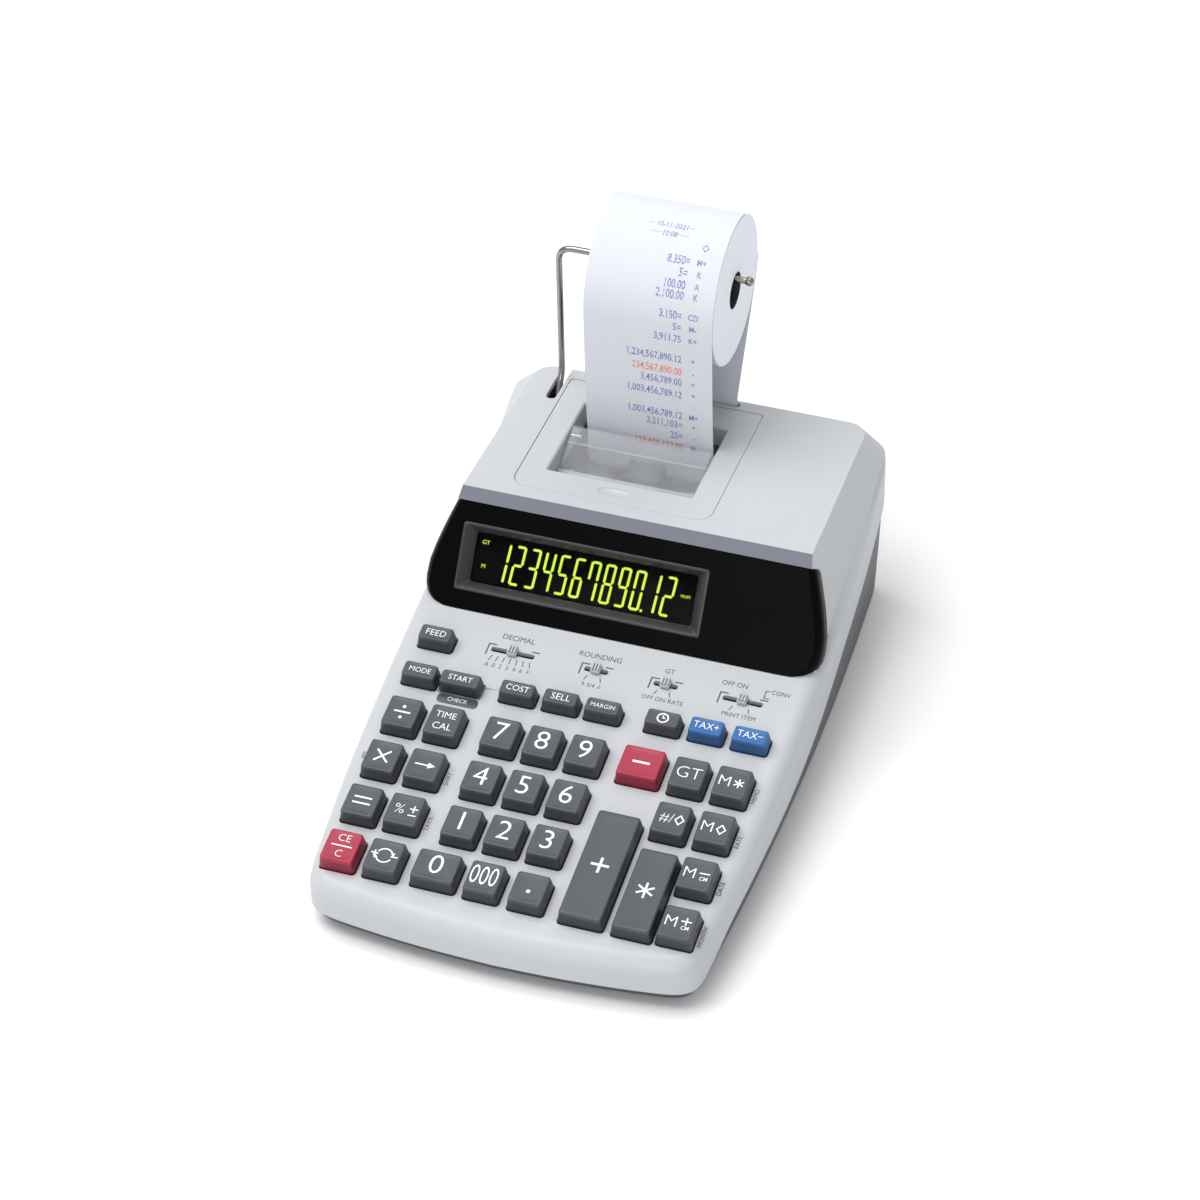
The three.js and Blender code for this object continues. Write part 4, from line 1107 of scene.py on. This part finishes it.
# ---- printer works ----------------------------------------------------------
def build_works():
    """What shows through the paper mouth, and the parts carried over from the frame."""
    kept = {"printer_frame": "works", "print_carriage": "works", "keyboard_board": "board"}
    for node, name in kept.items():
        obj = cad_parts[node]
        obj.data.materials.clear()
        obj.data.materials.append(finish(name))
        m = obj.modifiers.new("soften", "BEVEL")
        m.width, m.segments, m.limit_method, m.angle_limit = 0.0003, 2, "ANGLE", math.radians(35)
    y, z, r = FEED
    profile = [(PAPER_X0 - 9.5, 1.8), (PAPER_X0 - 9.2, 2.0), (PAPER_X0 - 2, 2.0)]
    for k in range(4):
        a = PAPER_X0 - 2 + k * 15.6
        profile += [(a + 0.01, r - 0.5), (a + 0.5, r), (a + 13.2, r), (a + 13.7, r - 0.5)]
        if k < 3:
            profile += [(a + 13.75, 4.2), (a + 15.55, 4.2)]
    profile += [(PAPER_X1 + 2.1, 2.0), (PAPER_X1 + 9.2, 2.0), (PAPER_X1 + 9.5, 1.8)]
    make("paper_roller", turned(profile, 36).moved(Matrix.Translation((0, y, z))), [finish("roller")],
         "roller", ["feed_roller"], "rubber")
    ink = turned(((-44, 2), (-43.8, 6.0), (-43.2, 6.4), (-41, 6.4), (-40.8, 5.2), (10.8, 5.2), (11, 6.4),
                  (13.2, 6.4), (13.8, 6.0), (14, 2)), 40).moved(Matrix.Translation((0, *INK_ROLLER)))
    make("ink_roller", ink, [finish("frame")], "case", slot="frame")
    pin = turned(((-46.5, 0.9), (-46.4, 1.1), (-42.0, 1.1), (-41.9, 0.9)), 20).moved(
        Matrix.Translation((0, *GUIDE_PIN)))
    make("paper_guide_pin", pin, [finish("chrome")], "cover", slot="chrome")


# ---- arm, roll and paper ----------------------------------------------------
def bend(a, b, c, n=8):
    """Points round a bend from a to c about the corner b."""
    a, b, c = Vector(a), Vector(b), Vector(c)
    return [a * (1 - t) ** 2 + b * 2 * t * (1 - t) + c * t * t for t in (i / n for i in range(n + 1))]


def build_arm():
    """The wire arm that carries the roll."""
    py, pz = ARM_PIVOT
    x = ARM_X
    path = [Vector((x - 8, py, pz))]
    path += bend((x - 4, py, pz), (x, py, pz), (x, py + 2.8, pz + 2.88))
    path += bend((x, ROLL_Y - 3.4, 72.2), (x, ROLL_Y, 75.8), (x, ROLL_Y, 80.5))
    path += [Vector((x, ROLL_Y, z)) for z in (95, 115)]
    path += bend((x, ROLL_Y, WIRE_Z - 7), (x, ROLL_Y, WIRE_Z), (x + 7, ROLL_Y, WIRE_Z), 12)
    path += [Vector((k, ROLL_Y, WIRE_Z)) for k in (-45, -15, 12, ARM_TIP_X - 2)]
    r = 2.1
    ball = turned([(r * math.cos(t), max(r * math.sin(t), 0.1)) for t in np.linspace(math.pi, 0, 13)], 24)
    tip = Matrix.Translation((ARM_TIP_X - 2.3, ROLL_Y, WIRE_Z))
    make("roll_arm", sweep(path, WIRE_R - 0.35, 24) + ball.moved(tip), [finish("chrome")],
         "arm", ["paper_arm"], "chrome", angle=40)


def build_roll():
    """The paper roll: smooth face, wound ends and a bore."""
    sides = 96

    def ring(x, r):
        turns = [2 * math.pi * i / sides for i in range(sides)]
        return [(x, r * math.cos(t), r * math.sin(t)) for t in turns]

    r, c, a, b = ROLL_R, CORE_R, PAPER_X0, PAPER_X1
    levels = [(a + 0.1, c), (a, c + 0.1), (a, 14), (a, 20), (a, 26), (a, r - 0.25), (a + 0.25, r),
              (b - 0.25, r), (b, r - 0.25), (b, 26), (b, 20), (b, 14), (b, c + 0.1), (b - 0.1, c)]
    shape = loft([ring(*q) for q in levels], loop=True)
    # The wound ends and their rims take the lighter copy of the paper colour: painted light on the ends.
    face, wound, bore = 0, 1, 2
    # The bore takes the dark works plastic: painted shade inside the roll's hole.
    bands = [wound] * 5 + [face] * 3 + [wound] * 5 + [bore]
    shape.paint = [bands[i // sides] for i in range(len(shape.faces))]
    make("roll_of_paper", shape.moved(Matrix.Translation((0, ROLL_Y, ROLL_Z))),
         [finish("paper"), finish("edges"), finish("works")], "roll", ["paper_roll"], "paper", angle=40)


def tape_path():
    """The web's middle line in y and z, from its loose end round the roll and back to it."""
    r = ROLL_R + GAP + TAPE_T / 2 + 0.1
    pts = [(ROLL_Y + p[0], ROLL_Z + p[1]) for p in arc(0, 0, r, 66, 180, 40)]
    left = ROLL_Y - r  # from here down to the feed roller, round it and up behind the roll
    pts += [(left + 0.12, 128), (left + 0.3, 118), (left + 0.58, 107), (left + 0.9, 96), (left + 1.35, 87),
            (left + 1.9, 78), (left + 2.4, 72), (left + 3, 66)]
    pts += arc(FEED[0], FEED[1], FEED[2] + GAP + TAPE_T, 180, 270, 12)
    pts += [(206, 49.8), (213, 52), (219, 57), (222.6, 63.5), (223.8, 70), (224.6, 77)]
    away = (224.6 - ROLL_Y, 77 - ROLL_Z)
    leave = math.degrees(math.atan2(away[1], away[0]) + math.acos(r / math.hypot(*away)))
    start, end = Vector((224.6, 77)), Vector(arc(ROLL_Y, ROLL_Z, r, leave, leave, 1)[0])
    pts += [tuple(start.lerp(end, k / 5)) for k in range(1, 5)]
    pts += arc(ROLL_Y, ROLL_Z, r, leave, leave + 24, 8)
    return [Vector(p) for p in pts]


class Web:
    """Places things on the web by the distance along it."""

    def __init__(self):
        self.path = tape_path()
        self.reach = [0.0]
        for a, b in zip(self.path, self.path[1:]):
            self.reach.append(self.reach[-1] + (b - a).length)

    def at(self, s):
        """Point and outward direction at a distance along the web."""
        k = max(min(int(np.searchsorted(self.reach, s)), len(self.path) - 1), 1)
        a, b = self.path[k - 1], self.path[k]
        t = (s - self.reach[k - 1]) / (self.reach[k] - self.reach[k - 1])
        d = (b - a).normalized()
        return a.lerp(b, t), Vector((d.y, -d.x))

    def wrap(self, shape, s0):
        """Carries flat lettering, x across and y up, onto the web at distance s0."""
        out = []
        for x, y, z in shape.points:
            p, n = self.at(s0 - y)
            out.append((x, p.x + n.x * z, p.y + n.y * z))
        return Shape(out, shape.faces, shape.paint)


TAPE_ROWS = (
    (20.9, "····10-11-2021····", None, 0), (25.4, "······10:08······", None, 0),
    (29.7, "", "◇", 0), (36.4, "8.350=", "M+", 0), (41.6, "5=", "K", 0), (46.7, "100.00", "A", 0),
    (51.2, "2,100.00", "K", 0), (60.1, "3.150=", "CD", 0), (65.7, "5=", "M-", 0),
    (71.9, "3,911.75", "K+", 0),
    (82.6, "1,234,567,890.12", "+", 0), (89.4, "234,567,890.00", "-", 1), (95.2, "3,456,789.00", "+", 0),
    (102.0, "1,003,456,789.12", "*", 0), (113.6, "1,003,456,789.12", "M+", 0),
    (119.0, "3,211,103=", "+", 0),
    (125.2, "25=", "-", 0), (131.4, "123,456,123.00", "M-", 1),
)


def build_web():
    """The printed web of paper, from the roll, down through the printer and back up."""
    web = Web()
    half = TAPE_T / 2
    rings = []
    for i, p in enumerate(web.path):
        a, b = web.path[max(i - 1, 0)], web.path[min(i + 1, len(web.path) - 1)]
        d = (b - a).normalized()
        n = Vector((d.y, -d.x)) * -half
        up, down = p + n, p - n
        rings.append([(PAPER_X0, up.x, up.y), (PAPER_X1, up.x, up.y), (PAPER_X1, down.x, down.y),
                      (PAPER_X0, down.x, down.y)])
    out = [loft(rings)]
    for s, text, sign, colour in TAPE_ROWS:
        z = half + 0.03
        if text and sign is None:
            row = lettering(text, 3.9, -9.0, 0, z, 0.04, 0.0, 0.8)
            out.append(web.wrap(row, s).painted(1 + colour))
        elif text:
            row = lettering(text, 5.3, 3.0, 0, z, 0.04, -0.03, 0.68, align="RIGHT")
            out.append(web.wrap(row, s).painted(1 + colour))
        if sign:
            out.append(web.wrap(lettering(sign, 3.9, 8.0, 0, z, 0.04, -0.04, 0.8), s).painted(1))
    obj = make("printed_web", together(out), [finish("paper"), finish("ink"), finish("red_ink")], None,
               ["paper_tape"], "paper", angle=40)
    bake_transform(obj)


# ---- keys -------------------------------------------------------------------
def dish(u, v):
    """How far a key top is dished at (u, v), each from -1 to 1."""
    return -sizes().key_dish * 1000 * (1 - min(u * u, 1)) * (1 - 0.35 * min(v * v, 1))


def cap_shape(w, d):
    """A key cap about its middle: drafted sides, rounded shoulders and a dished top."""
    e = sizes().key_edge * 1000
    low = -(UNDER_DECK + GAP)
    levels = [(0.9, low, 1.5), (0.9, -KEY_RISE + 1.2, 1.5), (0.78, -KEY_RISE + 2.6, 1.45),
              (0.42, -e * 2.2, 1.35), (0.32, -e, 1.3)]
    for deg in (22.5, 45, 67.5, 90):
        a = math.radians(deg)
        inward = 1 - math.cos(a)
        levels.append((0.32 - e * inward, -e * (1 - math.sin(a)), 1.3 - e * 0.3 * inward))
    rings = [[(*p, h) for p in rounded(w + 2 * out, d + 2 * out, r, 4, side=6)] for out, h, r in levels]
    out, _, r = levels[-1]
    for k in (0.94, 0.82, 0.68, 0.5, 0.32, 0.12):
        flat = rounded((w + 2 * out) * k, (d + 2 * out) * k, max(r * k, 0.05), 4, side=6)
        rings.append([(x, y, dish(2 * x / w, 2 * y / d) * min((1 - k) / 0.18, 1)) for x, y in flat])
    post = slab(-2.5, 2.5, -2.5, 2.5, -11.2, low + 0.01, 0.6)
    cap = loft(rings)
    # Faces below the shoulder, and the post, take material 1, the darker copy of the key colour: painted
    # shade on the cap sides.
    skirt = 3 * len(rings[0])
    cap.paint = [1 if i < skirt else 0 for i in range(len(cap.faces))]
    return cap + post.painted(1)


def word(text, size=3.1, thin=0.02, wide=0.92, y=0.0, x=0.0):
    """A word on a key top."""
    return [lettering(text, size, x, y, 0, 0.05, thin, wide)]


def digit(text, wide=1.0):
    """A large figure on a key top."""
    return [lettering(text, 13.4, -0.3, 0.3, 0, 0.05, 0.1, wide)]


def bars(*lines, width=0.62):
    """A sign drawn with straight bars."""
    return [stroke(line, width, thick=0.05) for line in lines]


def diamond(x, y, r=1.35):
    """A small open diamond."""
    corners = [(x - r, y), (x, y + r * 1.25), (x + r, y), (x, y - r * 1.25)]
    return [stroke(corners, 0.42, thick=0.05, closed=True)]


def star(x, y, r, width):
    """A six-armed asterisk."""
    arms = []
    for deg in (90, 30, -30):
        c, s = math.cos(math.radians(deg)) * r, math.sin(math.radians(deg)) * r
        arms += bars([(x - c, y - s), (x + c, y + s)], width=width)
    return arms


def arrow_head(x, y, turn, size=1.0):
    """A filled arrow head."""
    pts = [(size, 0), (-size * 0.6, size * 0.75), (-size * 0.6, -size * 0.75)]
    c, s = math.cos(turn), math.sin(turn)
    ring = [(x + px * c - py * s, y + px * s + py * c) for px, py in pts]
    return [loft([[(*p, -0.025) for p in ring], [(*p, 0.025) for p in ring]])]


def legends():
    """Every key's legend, flat in x and y about the middle of its top."""
    m = [lettering("M", 5.5, -2.3, 0, 0, 0.05, 0.07)]
    clock = [stroke(arc(0, 0, 1.75, 0, 345, 23), 0.5, thick=0.05, closed=True)]
    clock += bars([(0, -0.1), (0, 1.15)], [(0, 0), (0.85, 0)], width=0.4)
    swirl = [stroke(arc(0, 0, 2.7, a0, a0 + 130, 12), 0.5, thick=0.05) for a0 in (25, 205)]
    swirl += bars([(-4.6, 0.3), (-2.2, 0.3)], [(-3.4, 1.5), (-3.4, -0.9)], [(2.2, 0.0), (4.6, 0.0)],
                  width=0.5)
    swirl += arrow_head(2.75, 0.85, -1.3, 0.95) + arrow_head(-2.75, -0.95, 1.85, 0.95)
    clear = word("CE", 3.9, 0.05, 0.95, 3.0) + word("C", 3.9, 0.05, 0.95, -3.1)
    clear += bars([(-3.4, 0), (3.4, 0)], width=0.5)
    dots = [dot(0, 2.1, 0.55, thick=0.05), dot(0, -2.1, 0.55, thick=0.05)]
    table = {
        "feed": word("FEED", 3.5), "mode": word("MODE", 3.3), "start": word("START", 3.3),
        "cost": word("COST", 3.4), "sell": word("SELL", 3.4), "margin": word("MARGIN", 2.7),
        "clock": clock, "tax_plus": word("TAX+", 3.7), "tax_minus": word("TAX−", 3.7),
        "divide": bars([(-2.6, 0), (2.6, 0)]) + dots,
        "time": word("TIME", 3.4, y=2.1) + word("CAL", 3.6, y=-2.3),
        "minus": bars([(-2.7, 0), (2.7, 0)], width=0.8),
        "grand_total": [lettering("GT", 5.6, 0, 0, 0, 0.05, 0.1)],
        "memory_total": m + star(2.1, 0.1, 1.7, 0.45),
        "multiply": bars([(-2.2, -2.2), (2.2, 2.2)], [(-2.2, 2.2), (2.2, -2.2)]),
        "shift": bars([(-3.0, 0), (1.4, 0)], width=0.5) + arrow_head(2.0, 0, 0, 1.5),
        "non_add": [lettering("#/", 5.0, -1.4, 0, 0, 0.05, 0.06)] + diamond(2.6, 0),
        "memory_subtotal": m + diamond(2.0, -0.1),
        "equals": bars([(-2.8, 1.1), (2.8, 1.1)], [(-2.8, -1.1), (2.8, -1.1)]),
        "percent": [lettering("%", 5.0, -1.6, 0, 0, 0.05, 0.06)] + bars(
            [(1.5, 0.7), (4.1, 0.7)], [(2.8, 2.0), (2.8, -0.6)], [(1.5, -1.7), (4.1, -1.7)], width=0.42),
        "clear": clear, "sign": swirl, "0": digit("0"), "000": digit("000", 0.6),
        "point": [dot(0, -1.2, 0.72, thick=0.05)],
        "plus": bars([(-3.0, 0), (3.0, 0)], [(0, -3.0), (0, 3.0)], width=0.9),
        "total": star(0, 0, 3.2, 0.75),
        "memory_minus": m + bars([(0.6, 0.7), (3.8, 0.7)], width=0.45)
        + word("CM", 1.9, -0.02, y=-1.3, x=2.3),
        "memory_plus": m + bars([(0.6, 0.9), (3.8, 0.9)], [(2.2, 2.3), (2.2, -0.4)], width=0.45)
        + word("CM", 1.9, -0.02, y=-1.5, x=2.3),
    }
    for figure in "123456789":
        table[figure] = digit(figure)
    return table


LEGEND_SCALE = {"grand_total": 1.5, "feed": 1.3, "mode": 1.13, "start": 1.2, "cost": 1.27, "sell": 1.4,
                "margin": 1.15, "clock": 1.3, "tax_plus": 1.3, "tax_minus": 1.3, "time": 1.38,
                "plus": 1.28, "total": 1.22, "clear": 1.3, "sign": 1.25, "point": 1.2}


def build_keys():
    """Thirty-eight key caps and their legends."""
    signs = legends()
    for name, (x, y, w, d, colour) in KEYS.items():
        place = DECK @ Matrix.Translation((x + w / 2, y + d / 2, 0))
        body = "key_" + name
        # The caps' sides take the darker copy of their colour as painted shade.
        make("cap_" + name, cap_shape(w, d).moved(place), [finish(colour), finish(colour + " side")],
             body, [body], colour, angle=38)
        mark = together(signs[name])
        mark.points[:, :2] *= LEGEND_SCALE.get(name, 1.0 if len(name) == 1 or name == "000" else 1.36)
        lift = [dish(2 * px / w, 2 * py / d) + 0.045 for px, py, _ in mark.points]
        mark.points[:, 2] += lift
        make("legend_" + name, mark.moved(place), [finish("legend")], body, angle=40)


# ---- slide switches and deck printing ----------------------------------------
def build_switches():
    """Four slide switches: ribbed knobs on stems through the deck."""
    for name, (x, _) in SWITCHES.items():
        top = SKIN + GAP
        cap = slab(x - 2.1, x + 2.1, SWITCH_Y - 2.3, SWITCH_Y + 2.3, top, top + 1.7, 0.6, 4, 0.25)
        ribs = [slab(x + k - 0.35, x + k + 0.35, SWITCH_Y - 2.0, SWITCH_Y + 2.0, top + 1.5, top + 3.0,
                     0.3, 3, 0.2) for k in (-1.3, 0, 1.3)]
        stem = slab(x - 1.3, x + 1.3, SWITCH_Y - 0.9, SWITCH_Y + 0.9, -UNDER_DECK - 1.4, top + 0.3, 0.2)
        shoe_top = -UNDER_DECK - GAP
        shoe = slab(x - 3, x + 3, SWITCH_Y - 3, SWITCH_Y + 3, shoe_top - 1.4, shoe_top, 0.5, 3, 0.2)
        body = "switch_" + name
        make("knob_" + name, together([cap, stem, shoe, *ribs]).moved(DECK), [finish("knob")],
             body, [body], "knob")


def build_labels():
    """The printing on the deck and the dark plate in front of the start key."""
    h = SKIN + 0.02
    marks = []

    def text(t, size, x, y, wide=0.9, turn=0.0, thin=0.0):
        marks.append(lettering(t, size, x, y, h, 0.04, thin, wide, turn))

    def line(points, width=0.32):
        marks.append(stroke(points, width, h, 0.04))

    text("DECIMAL", 3.9, -39.6, 92.6)
    text("ROUNDING", 3.9, -3.0, 92.2)
    text("GT", 3.6, 27.6, 92.2)
    text("OFF ON", 3.5, 56.0, 92.6)
    text("CONV", 3.2, 76.0, 92.4)
    line([(72.0, 88.6), (69.6, 88.6), (69.6, 92.6), (71.2, 92.6)], 0.42)
    for x, travel in SWITCHES.values():
        a, b = x - travel - 3.2, x + travel + 3.2
        line([(a, SWITCH_Y - 3.4), (a, SWITCH_Y + 2.6), (a + 3.4, SWITCH_Y + 2.6)], 0.6)
        line([(b - 3.4, SWITCH_Y + 2.6), (b, SWITCH_Y + 2.6)], 0.6)
    for k, sign in enumerate("A02346F"):
        x = -48.6 + k * 3.05
        text(sign, 3.1, x, 76.2)
        line([(x + (k - 3) * -0.3, 81.6), (x, 78.6)], 0.4)
    text("↑ 5/4 ↓", 3.0, -2.4, 76.4)
    text("OFF ON RATE", 3.2, 29.0, 76.6)
    text("PRINT ITEM", 3.2, 62.2, 76.6)
    for k, x in ((-1, 25.4), (1, 30.6), (-1, -5.4), (1, 0.2), (-1, 58.2), (1, 65.0)):
        line([(x, 81.4), (x + k * 0.9, 78.9)], 0.4)
    side = math.pi / 2
    for name, t in (("memory_total", "MEMO"), ("memory_subtotal", "RATE"), ("memory_minus", "DATE"),
                    ("memory_plus", "MONTH"), ("shift", "SHIFT"), ("percent", "TAX%")):
        x, y, w, d, _ = KEYS[name]
        text(t, 2.9, x + w + 3.0, y + d / 2, 0.95, side)
    x, y, w, d, _ = KEYS["multiply"]
    text("SET", 2.7, x - 2.8, y + d * 0.7, 0.9, side)
    x, y, w, d, _ = KEYS["non_add"]
    text("NON-ADD", 2.7, x + w / 2, y + d + 2.6, 0.95)
    make("deck_printing", together(marks).moved(DECK), [finish("label")], "case", angle=40)

    x, y, w, d, _ = KEYS["start"]
    plate = slab(x - 0.2, x + w + 1.3, y - 6.2, y - 1.6, SKIN - 0.05, SKIN + 0.35, 1.6, 5, 0.15)
    make("start_plate", plate.moved(DECK), [finish("key")], "case", slot="key")
    check = lettering("CHECK", 2.9, x + w / 2 + 0.5, y - 3.9, SKIN + 0.37, 0.04, 0.0, 0.92)
    make("start_plate_legend", check.moved(DECK), [finish("legend")], "case")


# ---- stage ------------------------------------------------------------------
# each light: name, place, point aimed at, side of its square, power
LIGHTS = (("key light", (-0.85, -0.1, 2.15), (0, 0, 0.05), 1.8, 44),
          ("back light", (0.2, 1.7, 1.7), (0, 0.1, 0.05), 1.2, 8),
          ("front light", (0.1, -2.3, 1.1), (0, 0, 0.08), 1.4, 13))
SKY_COLOUR, SKY_STRENGTH = (0.97, 0.985, 1.0, 1), 0.56
SENSOR, LENS = 36, 122.46
CAMERA_AT = (0.42005, -1.2225, 1.1840)
CAMERA_RIGHT = (0.9481, 0.3173, -0.0168)
CAMERA_AHEAD = (-0.2515, 0.7169, -0.6503)


def area_light(name, place, target, size, energy):
    """A soft square light aimed at a point."""
    data = bpy.data.lights.new(name, "AREA")
    data.shape, data.size, data.energy = "SQUARE", size, energy
    obj = bpy.data.objects.new(name, data)
    bpy.context.scene.collection.objects.link(obj)
    obj.location = place
    obj.rotation_euler = (Vector(target) - Vector(place)).to_track_quat("-Z", "Y").to_euler()


def build_stage():
    """Pale floor, soft lights and the camera."""
    f = Finish("floor")
    speck = f.noise(3, 4)
    pale = f.mix(speck, (0.90, 0.905, 0.91, 1), (0.93, 0.93, 0.935, 1))
    floor_finish = f.done(Base_Color=pale, Roughness=0.8)
    mesh = bpy.data.meshes.new("floor")
    mesh.from_pydata([(-6, -6, 0), (6, -6, 0), (6, 6, 0), (-6, 6, 0)], [], [(0, 1, 2, 3)])
    mesh.materials.append(floor_finish)
    floor = bpy.data.objects.new("floor", mesh)
    bpy.context.scene.collection.objects.link(floor)

    world = bpy.data.worlds.new("studio")
    world.use_nodes = True
    back = world.node_tree.nodes["Background"]
    back.inputs["Color"].default_value = SKY_COLOUR
    back.inputs["Strength"].default_value = SKY_STRENGTH
    bpy.context.scene.world = world
    for light in LIGHTS:
        area_light(*light)

    data = bpy.data.cameras.new("camera")
    data.sensor_width = SENSOR
    data.lens = LENS
    data.shift_x, data.shift_y = 0.0073, -0.0051
    data.clip_start, data.clip_end = 0.05, 20
    camera = bpy.data.objects.new("camera", data)
    bpy.context.scene.collection.objects.link(camera)
    right = Vector(CAMERA_RIGHT).normalized()
    ahead = Vector(CAMERA_AHEAD).normalized()
    right = (right - ahead * right.dot(ahead)).normalized()
    up = right.cross(ahead)
    turn = Matrix((right, up, -ahead)).transposed().to_4x4()
    camera.matrix_world = Matrix.Translation(CAMERA_AT) @ turn
    bpy.context.scene.camera = camera
    bpy.context.scene.view_settings.view_transform = "Standard"


# ---- operators --------------------------------------------------------------
def operator(name, label, text, *steps):
    """An operator class that runs its building steps in order."""
    def execute(self, context):
        for step in steps:
            step()
        return {"FINISHED"}

    return type("CALC_OT_" + name, (bpy.types.Operator,), {
        "bl_idname": "calculator." + name, "bl_label": label, "__doc__": text, "execute": execute})


OPERATORS = (
    operator("build_case", "Case", "Build the top and bottom case and the feet",
             build_shell, build_base, build_feet),
    operator("build_display", "Display", "Build the black panel, its frame and the display",
             build_panel, build_readout),
    operator("build_cover", "Printer cover", "Build the printer cover and tear bar",
             build_cover, build_tear_bar),
    operator("build_works", "Printer works", "Finish the printer's inner parts", build_works),
    operator("build_paper", "Roll and arm", "Build the arm, the roll and the printed web",
             build_arm, build_roll, build_web),
    operator("build_keys", "Keys", "Build the key caps and legends", build_keys),
    operator("build_switches", "Switches", "Build the slide switches and deck printing",
             build_switches, build_labels),
    operator("build_stage", "Stage", "Lay the floor and set the lights and camera", build_stage),
)


class CALC_PT_panel(bpy.types.Panel):
    """Lists the calculator's settings and building steps."""

    bl_label = "Calculator"
    bl_space_type = "VIEW_3D"
    bl_region_type = "UI"
    bl_category = "Calculator"

    def draw(self, context):
        """Draws the settings and one button for each step."""
        for group in (context.scene.calculator_colours, context.scene.calculator_sizes):
            for key in group.__annotations__:
                self.layout.prop(group, key)
        for op in OPERATORS:
            self.layout.operator(op.bl_idname)


CLASSES = (CALC_colours, CALC_sizes, *OPERATORS, CALC_PT_panel)


def register():
    """Registers the classes and settings."""
    for c in CLASSES:
        bpy.utils.register_class(c)
    bpy.types.Scene.calculator_colours = PointerProperty(type=CALC_colours)
    bpy.types.Scene.calculator_sizes = PointerProperty(type=CALC_sizes)


def unregister():
    """Removes the settings and classes."""
    del bpy.types.Scene.calculator_sizes
    del bpy.types.Scene.calculator_colours
    for c in reversed(CLASSES):
        bpy.utils.unregister_class(c)


def main():
    """Builds everything and notes the two boxes."""
    register()
    for op in OPERATORS:
        getattr(bpy.ops.calculator, op.bl_idname.split(".")[1])()
    bpy.context.view_layer.update()


if __name__ == "__main__":
    main()
